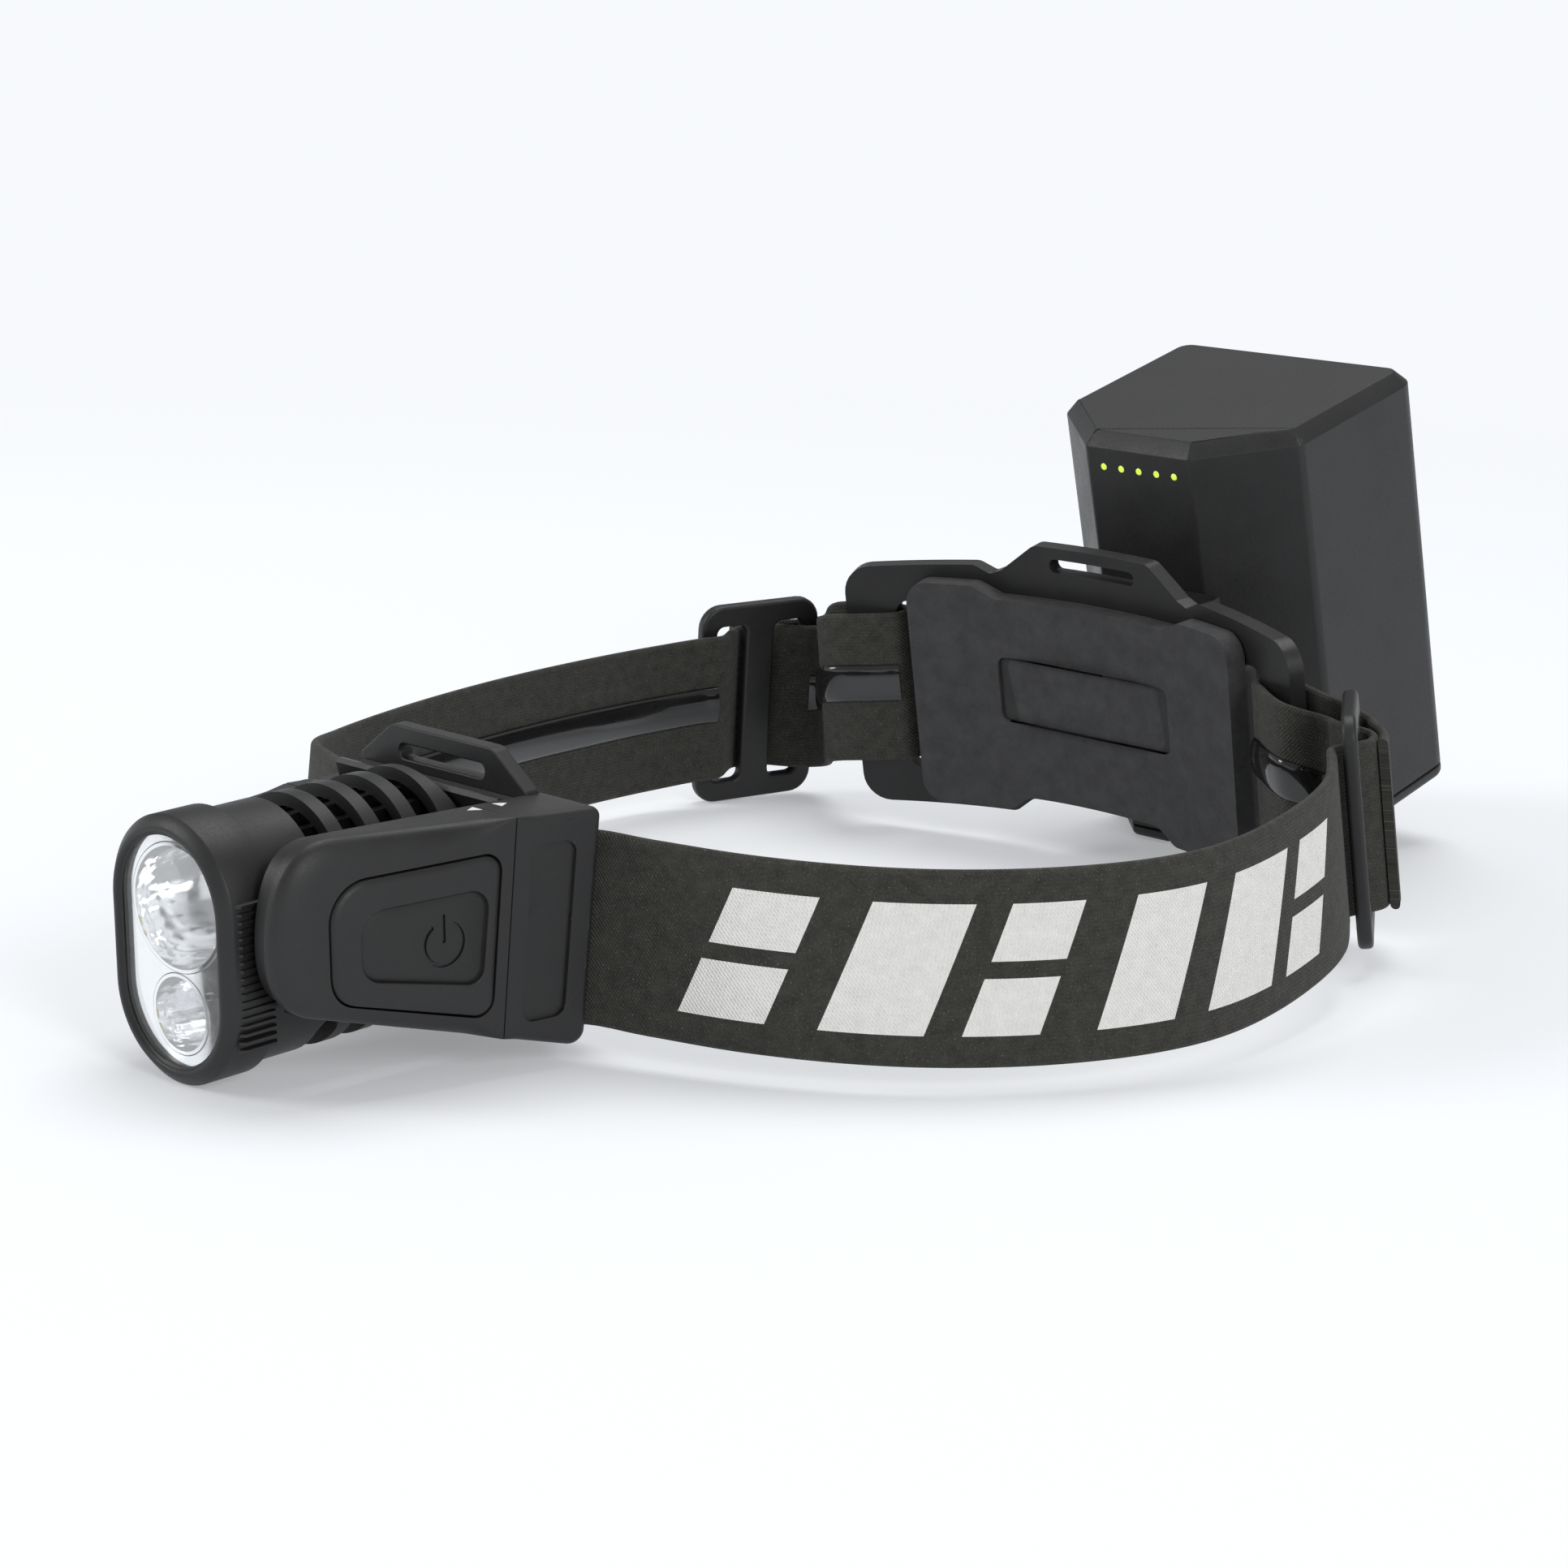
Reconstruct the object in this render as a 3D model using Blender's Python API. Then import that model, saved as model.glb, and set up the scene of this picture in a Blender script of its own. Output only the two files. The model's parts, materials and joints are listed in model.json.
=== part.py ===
"""Headlamp: a tilting lamp head in a forehead bracket, an elastic strap and a battery pack on a rear dock.

Millimetres throughout, turned into metres when a mesh is made. +X is the side of the power button, -Y is
where the lamp shines, +Z is up. The pieces are laid out level with the lamp's beam under the empty "frame",
which then tips and lifts them so that the lamp and the battery pack both stand on the plane z = 0.
"""
import math

import bmesh
import bpy
import numpy as np
from mathutils import Matrix, Vector

MM = 0.001
GAP = 0.3  # clearance between pieces that rest on or in each other
RUNNING = 0.5  # clearance around pieces that move

# Lamp head
HEAD_HALF_WIDTH = 14.0
HEAD_HALF_HEIGHT = 20.4
HEAD_Z = 29.9
BEZEL_FRONT_Y = -141.0
BEZEL_LENGTH = 7.0
BEZEL_WALL = 1.8
LENS_THICKNESS = 1.5
LENS_RECESS = 0.9
SLEEVE_INSET = 1.0
SLEEVE_WALL = 2.0
OPTIC_MARGIN = 4.4  # from the head's outline to the reflectors
FLOOD_RADIUS = HEAD_HALF_WIDTH - OPTIC_MARGIN
SPOT_RADIUS = HEAD_HALF_HEIGHT - OPTIC_MARGIN - FLOOD_RADIUS - 0.4
REFLECTOR_DEPTH = 11.0
VENT_COUNT = 5
VENT_PITCH = 6.9
VENT_WIDTH = 4.2
FIN_COUNT = 6
PIVOT_Y = -127.5
PIVOT_Z = 35.0
PIVOT_RADIUS = 3.9
PIN_FLANGE = 0.9  # how far a pin's flange stands out past its shank
PIN_FLANGE_THICKNESS = 0.6
WASHER_RADIUS = 6.0
TAIL_RADIUS = 35.0  # the head's rear is round about its pivot, so that it can tilt past the bracket

# Bracket
ARM_SIDE_GAP = 1.5  # from the head's side to the arm
ARM_INNER_X = HEAD_HALF_WIDTH + ARM_SIDE_GAP
ARM_WALL = 3.0
ARM_NOSE_RADIUS = {"near": 13.5, "far": 7.0}
ARM_SPREAD = {"near": 15.5, "far": 10.5}  # how far the arm's rear stands out from its inner face
ARM_FLARE = {"near": 0.17, "far": 0.115}  # how far the outer face spreads per millimetre towards the rear
ARM_REAR_Y = -83.0
ARM_REAR_TOP_Z = {"near": 46.1, "far": 43.0}
DECK_Z = 46.1
ARM_REAR_BOTTOM_Z = 9.0
ARM_REAR_RAKE = 0.105
SEAM_Y = -98.4
CROSS_THICKNESS = 3.6
BUTTON_FRONT_Y = -129.6
BUTTON_TOP_Z = 42.0
BUTTON_FRONT_FOOT_Z = 24.4
BUTTON_REAR_FOOT_Z = 17.1
BUTTON_SEAM_MARGIN = 2.3
BUTTON_TRAVEL = 0.8
BUTTON_PROUD = 1.0
TAB_HALF_WIDTH = 20.0
TAB_HEIGHT = 6.0

# Strap
STRAP_WIDTH = 30.0
STRAP_THICKNESS = 1.7
STRAP_LEAN = math.radians(6.4)
STRAP_START_X = ARM_INNER_X + 9.1
STRIP_WIDTH = 7.0
STRIP_THICKNESS = 1.2
SLIDER_LENGTH = 26.0
SLIDER_HEIGHT = 41.0
SLIDER_THICKNESS = 2.6
SLIDER_BAR = 3.5
SLIDER_CENTRE_BAR = 6.4

# Rear plate and pad
PLATE_RADIUS = 124.0
PLATE_THICKNESS = 3.0
PLATE_HALF_WIDTH = 54.5
PLATE_HALF_HEIGHT = 24.3
PLATE_LEAN = math.radians(8.4)
PLATE_CENTRE = Vector((0.0, 77.0, 28.0))
LUG_SLOT_IN = 38.5
LUG_SLOT_OUT = 44.3
PAD_HALF_WIDTH = 37.3
PAD_THICKNESS = 4.0
PAD_INSET = 2.0

# Battery pack and dock
PACK_WIDTH = 55.3
PACK_DEPTH = 51.4
PACK_HEIGHT = 84.0
PACK_LEAN = math.radians(12.4)
PACK_CENTRE = Vector((0.0, 117.5, 41.6))
PACK_FRONT_FLAT = 23.9
PACK_CHAMFER_DEPTH = 13.8
PACK_EDGE = 2.4
PACK_WALL = 2.0
PACK_BASE = 2.5
RAIL_NECK = 3.5
RAIL_HEAD = 6.0
RAIL_STEP = 1.8
RAIL_FLOOR = 1.7  # the wall behind the groove
PACK_FRONT_WALL = 2 * RAIL_STEP + RAIL_FLOOR
CELL_END_ROOM = 14.0
CELL_DEPTH_ROOM = 2.1
CELL_SIDE_ROOM = 9.3
CELL_GAP = 0.4
CELL_LENGTH = PACK_HEIGHT - CELL_END_ROOM
CELL_RADIUS = min(PACK_DEPTH - PACK_FRONT_WALL - PACK_WALL - CELL_DEPTH_ROOM,
                  PACK_WIDTH - 2 * PACK_WALL - CELL_SIDE_ROOM) / 4
CELL_PITCH = 2 * CELL_RADIUS + CELL_GAP
RAIL_LOW = -33.0
RAIL_HIGH = -2.0
DOCK_HALF_WIDTH = 16.0
LED_COUNT = 5
LED_PITCH = 4.1
LED_DROP = 6.3  # from the pack's top to the indicators
LED_HEIGHT = PACK_HEIGHT / 2 - LED_DROP
LED_RADIUS = 0.9
PORT_INSET = 9.7  # from the pack's front face to the middle of the charging port
PORT_SIZE = (9.0, 3.3, 5.4)
COVER_THICKNESS = 0.9

SIDES = {"near": 1, "far": -1}


def clear_scene():
    for item in list(bpy.data.objects):
        bpy.data.objects.remove(item, do_unlink=True)


def make_material(name, colour, roughness, metallic=0.0):
    made = bpy.data.materials.new(name)
    made.use_nodes = True
    shader = made.node_tree.nodes["Principled BSDF"]
    shader.inputs["Base Color"].default_value = (*colour, 1.0)
    shader.inputs["Roughness"].default_value = roughness
    shader.inputs["Metallic"].default_value = metallic
    made.diffuse_color = (*colour, 1.0)
    return made


def make_materials():
    return {
        "shell": make_material("shell", (0.028, 0.028, 0.030), 0.5),
        "trim": make_material("trim", (0.018, 0.018, 0.020), 0.4),
        "lens": make_material("lens", (0.85, 0.88, 0.90), 0.05),
        "reflector": make_material("reflector", (0.90, 0.90, 0.90), 0.08, 1.0),
        "led": make_material("led", (0.90, 0.80, 0.30), 0.4),
        "board": make_material("board", (0.60, 0.62, 0.60), 0.5),
        "metal": make_material("metal", (0.08, 0.08, 0.085), 0.35, 1.0),
        "steel": make_material("steel", (0.55, 0.55, 0.55), 0.3, 1.0),
        "rubber": make_material("rubber", (0.03, 0.03, 0.03), 0.7),
        "foam": make_material("foam", (0.07, 0.07, 0.072), 0.8),
        "webbing": make_material("webbing", (0.045, 0.045, 0.040), 0.85),
        "strip": make_material("strip", (0.012, 0.012, 0.012), 0.15),
        "cell": make_material("cell", (0.05, 0.20, 0.35), 0.4),
        "gold": make_material("gold", (0.80, 0.60, 0.25), 0.3, 1.0),
        "indicator": make_material("indicator", (0.55, 0.85, 0.12), 0.3),
    }


def make_empty(name, location, rotation_x=0.0, parent=None):
    empty = bpy.data.objects.new(name, None)
    empty.location = Vector(location) * MM
    empty.rotation_euler = (rotation_x, 0.0, 0.0)
    empty.parent = parent
    bpy.context.scene.collection.objects.link(empty)
    return empty


def skin(rings, loop=False):
    """A closed body through rings of points: capped at both ends, or joined last to first as a loop."""
    mesh = bmesh.new()
    rows = [[mesh.verts.new(point) for point in ring] for ring in rings]
    count = len(rows[0])
    for i in range(len(rows) if loop else len(rows) - 1):
        here, there = rows[i], rows[(i + 1) % len(rows)]
        for j in range(count):
            k = (j + 1) % count
            mesh.faces.new((here[j], here[k], there[k], there[j]))
    if not loop:
        mesh.faces.new(rows[0])
        mesh.faces.new(rows[-1])
    bmesh.ops.recalc_face_normals(mesh, faces=mesh.faces)
    return mesh


def along(axis, level, outline):
    """Points of a flat outline at a level of the named axis; the outline holds the other two coordinates."""
    slot = "xyz".index(axis)
    points = []
    for pair in outline:
        point = list(pair)
        point.insert(slot, level(*pair) if callable(level) else level)
        points.append(point)
    return points


def prism(outline, axis, low, high):
    return skin([along(axis, low, outline), along(axis, high, outline)])


def box(low, high):
    (x0, y0, z0), (x1, y1, z1) = low, high
    return prism([(x0, y0), (x1, y0), (x1, y1), (x0, y1)], "z", z0, z1)


def circle(radius, centre=(0.0, 0.0), sides=20, start=0.0, turn=math.tau):
    steps = sides if turn == math.tau else sides + 1
    angles = [start + turn * i / sides for i in range(steps)]
    return [(centre[0] + radius * math.cos(a), centre[1] + radius * math.sin(a)) for a in angles]


def turned(profile, axis, centre, sides, loop=False):
    """A body of revolution: profile holds (radius, level along the axis) pairs."""
    return skin([along(axis, level, circle(r, centre, sides)) for r, level in profile], loop)


def rounded(half_u, half_v, radius, centre=(0.0, 0.0), steps=3):
    """A rectangle with round corners."""
    points = []
    for quarter, (su, sv) in enumerate(((1, 1), (-1, 1), (-1, -1), (1, -1))):
        corner = (centre[0] + su * (half_u - radius), centre[1] + sv * (half_v - radius))
        points += circle(radius, corner, steps, quarter * math.pi / 2, math.pi / 2)
    return points


def node(name, mesh, material, parent, matrix=None, smooth=True):
    """Make the named object from a mesh in millimetres, given in its parent's own frame."""
    mesh.transform(Matrix.Scale(MM, 4))
    data = bpy.data.meshes.new(name)
    mesh.to_mesh(data)
    mesh.free()
    data.materials.append(material)
    if smooth:
        data.shade_smooth()
        data.set_sharp_from_angle(angle=math.radians(35))
    made = bpy.data.objects.new(name, data)
    made.parent = parent
    if matrix is not None:
        made.matrix_basis = matrix
    bpy.context.scene.collection.objects.link(made)
    return made


def shape_with(target, mesh, operation="DIFFERENCE", parent=None, matrix=None):
    """Cut, join or clip the target with a helper body that stays out of the model, and return the helper."""
    count = len(target.modifiers)
    helper = node(f"{target.name}_helper_{count}", mesh, target.data.materials[0], parent or target.parent, matrix)
    helper.hide_render = True
    helper.display_type = "WIRE"
    change = target.modifiers.new(f"shape_{count}", "BOOLEAN")
    change.operation = operation
    change.solver = "EXACT"
    change.object = helper
    return helper


def stadium(inset):
    """The lamp head's outline, drawn in by the inset: two half rounds joined by straight sides."""
    radius = HEAD_HALF_WIDTH - inset
    straight = HEAD_HALF_HEIGHT - HEAD_HALF_WIDTH
    top = circle(radius, (0.0, HEAD_Z + straight), 8, 0.0, math.pi)
    bottom = circle(radius, (0.0, HEAD_Z - straight), 8, math.pi, math.pi)
    return top + bottom


def pin_flange_x():
    """Where a pivot pin's flange lies: inside the sleeve's wall, which curves in above its straight side."""
    rise = max(0.0, PIVOT_Z + PIVOT_RADIUS + PIN_FLANGE - HEAD_Z - HEAD_HALF_HEIGHT + HEAD_HALF_WIDTH)
    return math.sqrt((HEAD_HALF_WIDTH - SLEEVE_INSET - SLEEVE_WALL) ** 2 - rise ** 2) - GAP


def core_half_width():
    """The heatsink and the board fit between the flanges of the two pins."""
    return pin_flange_x() - PIN_FLANGE_THICKNESS - GAP


def about_pivot(mesh):
    mesh.transform(Matrix.Translation((0.0, -PIVOT_Y, -PIVOT_Z)))
    return mesh


def lamp_head(frame, paint):
    pivot = make_empty("lamp_pivot", (0.0, PIVOT_Y, PIVOT_Z), parent=frame)
    front = BEZEL_FRONT_Y
    bezel_back = front + BEZEL_LENGTH
    lip = 3.0
    lens_front = front + LENS_RECESS
    lens_back = lens_front + LENS_THICKNESS

    profile = [(0.0, bezel_back), (0.0, front + 1.4), (1.4, front), (2.6, front), (lip, front + 0.3),
               (lip, lens_front - GAP), (BEZEL_WALL, lens_front - GAP), (BEZEL_WALL, bezel_back)]
    node("bezel", about_pivot(skin([along("y", y, stadium(k)) for k, y in profile], loop=True)),
         paint["shell"], pivot)
    glass = BEZEL_WALL + GAP
    node("lens", about_pivot(prism(stadium(glass), "y", lens_front, lens_back)), paint["lens"], pivot)
    seal = [(glass, lens_back + GAP), (lip + 0.6, lens_back + GAP), (lip + 0.6, lens_back + 1.0), (glass, lens_back + 1.0)]
    node("lens_seal", about_pivot(skin([along("y", y, stadium(k)) for k, y in seal], loop=True)),
         paint["rubber"], pivot)

    rim = lens_back + 1.0 + GAP
    board_front = rim + REFLECTOR_DEPTH + 0.6
    flood_z = HEAD_Z + SPOT_RADIUS + GAP / 2
    spot_z = HEAD_Z - FLOOD_RADIUS - GAP / 2
    for label, radius, z in (("flood", FLOOD_RADIUS, flood_z), ("spot", SPOT_RADIUS, spot_z)):
        throat = 2.4
        wall = [(radius - 0.6 - (radius - 0.6 - throat) * t ** 2, rim + REFLECTOR_DEPTH * t)
                for t in (0.0, 0.3, 0.55, 0.8, 1.0)]
        shell = [(throat + 1.4, rim + REFLECTOR_DEPTH), (radius, rim + 2.5), (radius, rim)]
        node(f"reflector_{label}", about_pivot(turned(wall + shell, "y", (0.0, z), 20, loop=True)),
             paint["reflector"], pivot)
        node(f"led_{label}", about_pivot(box((-1.4, board_front - 1.1, z - 1.4), (1.4, board_front - GAP, z + 1.4))),
             paint["led"], pivot)
    board = HEAD_HALF_WIDTH - core_half_width()
    node("led_board", about_pivot(prism(stadium(board), "y", board_front, board_front + 1.5)),
         paint["board"], pivot)

    sleeve_front = bezel_back + GAP
    far_back = -80.0
    round_tail = circle(TAIL_RADIUS, (PIVOT_Y, PIVOT_Z), 40)
    sleeve = node("vent_sleeve", about_pivot(prism(stadium(SLEEVE_INSET), "y", sleeve_front, far_back)),
                  paint["shell"], pivot)
    shape_with(sleeve, about_pivot(prism(round_tail, "x", -20.0, 20.0)), "INTERSECT")
    bore = shape_with(sleeve, about_pivot(prism(stadium(SLEEVE_INSET + SLEEVE_WALL), "y", sleeve_front - 5.0,
                                                far_back)))
    inner_tail = circle(TAIL_RADIUS - SLEEVE_WALL, (PIVOT_Y, PIVOT_Z), 40)
    shape_with(bore, about_pivot(prism(inner_tail, "x", -20.0, 20.0)), "INTERSECT")
    half = VENT_WIDTH / 2
    shoulder = HEAD_HALF_HEIGHT - 8.3
    for i in range(VENT_COUNT):
        y = sleeve_front + 8.2 + VENT_PITCH * (i + 0.5)
        if i < VENT_COUNT - 1:
            shape_with(sleeve, about_pivot(box((-20, y - half, HEAD_Z + shoulder), (20, y + half, HEAD_Z + 30))))
        if i < VENT_COUNT - 2:
            shape_with(sleeve, about_pivot(box((-20, y - half, HEAD_Z - 30), (20, y + half, HEAD_Z - shoulder))))
    shape_with(sleeve, about_pivot(turned([(PIVOT_RADIUS + GAP, -30.0), (PIVOT_RADIUS + GAP, 30.0)], "x",
                                          (PIVOT_Y, PIVOT_Z), 20)))

    core = heatsink_outline()
    sink = node("heatsink", about_pivot(prism(core, "y", board_front + 1.5 + GAP, far_back)), paint["metal"], pivot)
    shape_with(sink, about_pivot(prism(circle(TAIL_RADIUS - SLEEVE_WALL - 0.6, (PIVOT_Y, PIVOT_Z), 40), "x",
                                       -20.0, 20.0)), "INTERSECT")

    sleeve_side = HEAD_HALF_WIDTH - SLEEVE_INSET
    for side, sign in SIDES.items():
        collar = PIVOT_RADIUS + PIN_FLANGE
        flange = pin_flange_x()
        tip = ARM_INNER_X + ARM_WALL - 0.2
        pin = [(collar, sign * (flange - PIN_FLANGE_THICKNESS)), (collar, sign * flange),
               (PIVOT_RADIUS, sign * flange), (PIVOT_RADIUS, sign * tip)]
        node(f"pivot_pin_{side}", about_pivot(turned(pin, "x", (PIVOT_Y, PIVOT_Z), 20)), paint["steel"], pivot)
        ring = [(PIVOT_RADIUS + GAP, sign * (sleeve_side + GAP)), (WASHER_RADIUS, sign * (sleeve_side + GAP)),
                (WASHER_RADIUS, sign * (ARM_INNER_X - GAP)), (PIVOT_RADIUS + GAP, sign * (ARM_INNER_X - GAP))]
        node(f"friction_washer_{side}", about_pivot(turned(ring, "x", (PIVOT_Y, PIVOT_Z), 20, loop=True)),
             paint["rubber"], pivot)
    return pivot


def heatsink_outline():
    """A block with lengthwise fins along its top and its bottom, which reach almost to the sleeve."""
    pitch = 2 * core_half_width() / (2 * FIN_COUNT - 1)
    straight = HEAD_HALF_HEIGHT - HEAD_HALF_WIDTH
    room = HEAD_HALF_WIDTH - SLEEVE_INSET - SLEEVE_WALL - GAP
    root = straight + 2.2
    edge = []
    for i in range(FIN_COUNT):
        left = -core_half_width() + 2 * i * pitch
        reach = straight + math.sqrt(room ** 2 - max(abs(left), abs(left + pitch)) ** 2)
        edge += [(left, root), (left, reach), (left + pitch, reach), (left + pitch, root)]
    top = [(x, HEAD_Z + z) for x, z in edge[1:-1]]
    bottom = [(-x, HEAD_Z - z) for x, z in edge[1:-1]]
    return top + bottom


def arm_outer(side, y):
    """Where the arm's spreading outer face lies at y."""
    return ARM_INNER_X + ARM_SPREAD[side] + ARM_FLARE[side] * (y + 85.0)


def arm_touch(side, inset):
    """The arm's lower tangent line: its angle and the point where it leaves the round nose."""
    nose = ARM_NOSE_RADIUS[side]
    run = ARM_REAR_Y - 3.9 - PIVOT_Y
    drop = PIVOT_Z - ARM_REAR_BOTTOM_Z
    angle = math.atan2(drop, -run) + math.asin(nose / math.hypot(run, drop))
    radius = nose - inset
    normal = angle + math.pi / 2
    return angle, (PIVOT_Y + radius * math.cos(normal), PIVOT_Z + radius * math.sin(normal))


def rear_edge_y(z, inset):
    return ARM_REAR_Y - inset - ARM_REAR_RAKE * (DECK_Z - z)


def seam_y(z):
    return SEAM_Y - 0.094 * (45.3 - z)


def arm_bottom_z(side, y, inset):
    angle, touch = arm_touch(side, inset)
    return touch[1] + (y - touch[0]) * math.tan(angle)


def arm_top_z(side, y, inset):
    top = ARM_REAR_TOP_Z[side]
    rise = (PIVOT_Z + ARM_NOSE_RADIUS[side] - top) / (PIVOT_Y - ARM_REAR_Y)
    return top - inset + rise * (y - ARM_REAR_Y)


def arm_nose(side, inset):
    """The side outline in front of the seam, from the seam's top round the nose to the seam's foot."""
    angle, _ = arm_touch(side, inset)
    nose = circle(ARM_NOSE_RADIUS[side] - inset, (PIVOT_Y, PIVOT_Z), 10, math.pi / 2, angle)
    top_y = seam_y(arm_top_z(side, SEAM_Y, inset))
    foot_y = seam_y(arm_bottom_z(side, SEAM_Y - 3.0, inset))
    return [(top_y, arm_top_z(side, top_y, inset))] + nose + [(foot_y, arm_bottom_z(side, foot_y, inset))]


def arm_tail(side, inset):
    """The side outline behind the seam, with its rear corners cut."""
    cut = 2.0
    top_y = seam_y(arm_top_z(side, SEAM_Y, inset)) + GAP
    foot_y = seam_y(arm_bottom_z(side, SEAM_Y - 3.0, inset)) + GAP
    rear_top = rear_edge_y(arm_top_z(side, ARM_REAR_Y, inset), inset)
    rear_foot = rear_edge_y(arm_bottom_z(side, ARM_REAR_Y - 4.0, inset), inset)
    return [(top_y, arm_top_z(side, top_y, inset)), (foot_y, arm_bottom_z(side, foot_y, inset)),
            (rear_foot - cut, arm_bottom_z(side, rear_foot - cut, inset)),
            (rear_foot, arm_bottom_z(side, rear_foot, inset) + cut),
            (rear_top, arm_top_z(side, rear_top, inset) - cut),
            (rear_top - cut, arm_top_z(side, rear_top - cut, inset))]


def arm_shell(outline, side):
    """A shell from the bracket's side wall out to the spreading face, with a rounded outer edge."""
    sign = SIDES[side]
    base = ARM_INNER_X + ARM_WALL + GAP
    rings = [along("x", sign * base, outline(side, 0.0))]
    thick = min(2.6, arm_outer(side, PIVOT_Y - ARM_NOSE_RADIUS[side]) - base - GAP)
    for inset, drop in ((0.0, thick), (0.3 * thick, 0.3 * thick), (thick, 0.0)):
        rings.append(along("x", lambda y, z, d=drop: sign * (arm_outer(side, y) - d), outline(side, inset)))
    return skin(rings)


def round_corners(corners, grow=0.0, steps=4):
    """A polygon with round corners, moved out by grow: corners holds (u, v, radius), counter-clockwise."""
    points = []
    for i, (u, v, radius) in enumerate(corners):
        here = Vector((u, v))
        back = (Vector(corners[i - 1][:2]) - here).normalized()
        ahead = (Vector(corners[(i + 1) % len(corners)][:2]) - here).normalized()
        half = back.angle(ahead) / 2
        centre = here + (back + ahead).normalized() * radius / math.sin(half)
        start = math.atan2(back.x, -back.y)
        points += circle(radius + grow, centre, steps, start, math.pi - 2 * half)
    return points


def button_outline(grow):
    """A D that leans with the seam behind it: round at the front, tighter at the rear."""
    corners = [(seam_y(BUTTON_TOP_Z) - BUTTON_SEAM_MARGIN, BUTTON_TOP_Z, 3.0),
               (BUTTON_FRONT_Y, BUTTON_TOP_Z, 5.0), (BUTTON_FRONT_Y, BUTTON_FRONT_FOOT_Z, 5.0),
               (seam_y(BUTTON_REAR_FOOT_Z) - BUTTON_SEAM_MARGIN, BUTTON_REAR_FOOT_Z, 3.0)]
    return round_corners(corners, grow)


def bracket(frame, paint, strap_rows):
    cross_front = PIVOT_Y + TAIL_RADIUS + 1.0
    cross_back = cross_front + CROSS_THICKNESS
    outer = ARM_INNER_X + ARM_WALL
    clear = TAIL_RADIUS + 1.0
    front = [(PIVOT_Y + math.sqrt(clear ** 2 - (z - PIVOT_Z) ** 2), z) for z in (PIVOT_Z, 39.0, 43.0, DECK_Z)]
    low = ARM_REAR_BOTTOM_Z + 2.5
    bar = [(cross_front, low)] + front + [(cross_back, DECK_Z), (cross_back, low)]
    main = node("bracket_frame", prism(bar, "x", -outer, outer), paint["shell"], frame)
    for label, sign in SIDES.items():
        end = cross_back - 0.5
        wall = arm_nose(label, 1.0)[:-1] + [(end, low + 0.5), (end, ARM_REAR_TOP_Z[label] - 2.0)]
        shape_with(main, prism(wall, "x", sign * ARM_INNER_X, sign * (outer - 0.05)), "UNION")
    hole = [(PIVOT_RADIUS + GAP, -30.0), (PIVOT_RADIUS + GAP, 30.0)]
    shape_with(main, turned(hole, "x", (PIVOT_Y, PIVOT_Z), 20))

    plate_front = cross_back + GAP
    plate_back = plate_front + 2.8
    tab_base = DECK_Z + GAP
    tab_top = tab_base + TAB_HEIGHT
    half = outer - GAP
    outline = [(-half, 10.0), (half, 10.0), (half, tab_base), (TAB_HALF_WIDTH, tab_base),
               (TAB_HALF_WIDTH, tab_base + 1.0), (11.3, tab_top), (-11.3, tab_top),
               (-TAB_HALF_WIDTH, tab_base + 1.0), (-TAB_HALF_WIDTH, tab_base), (-half, tab_base)]
    plate = node("forehead_plate", prism(outline, "y", plate_front, plate_back), paint["shell"], frame)
    shape_with(plate, prism(rounded(9.0, 1.2, 1.1, (0.0, tab_base + 1.9)), "y", plate_front - 5, plate_back + 5))
    node("forehead_pad", prism(rounded(27.0, 14.5, 5.0, (0.0, 27.0)), "y", ARM_REAR_Y + 0.6, ARM_REAR_Y + 4.6),
         paint["foam"], frame)

    for label, sign in SIDES.items():
        cover = node(f"arm_cover_{label}", arm_shell(arm_nose, label), paint["shell"], frame)
        cap = node(f"end_cap_{label}", arm_shell(arm_tail, label), paint["shell"], frame)
        half = STRAP_THICKNESS / 2 + 0.6
        above = {"near": 0.6, "far": 3.0}[label]
        slot = ribbon(strap_rows[label][:9], sign, half, -half, -0.6, STRAP_WIDTH + above)
        shape_with(cap, slot)
        base = ARM_INNER_X + ARM_WALL + GAP
        screw_y = (SEAM_Y + ARM_REAR_Y) / 2 - 5.0
        for end, z in (("upper", 37.0), ("lower", 17.5)):
            radius = 1.5
            shape_with(cap, turned([(radius + GAP, sign * (base - 1.0)), (radius + GAP, sign * (base + 4.0))], "x",
                                   (screw_y, z), 8))
            node(f"cap_screw_{label}_{end}", turned([(radius, sign * (base + GAP)), (radius, sign * (base + 3.6))],
                                                    "x", (screw_y, z), 8), paint["steel"], frame)
    switch_parts(frame, paint)


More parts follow.
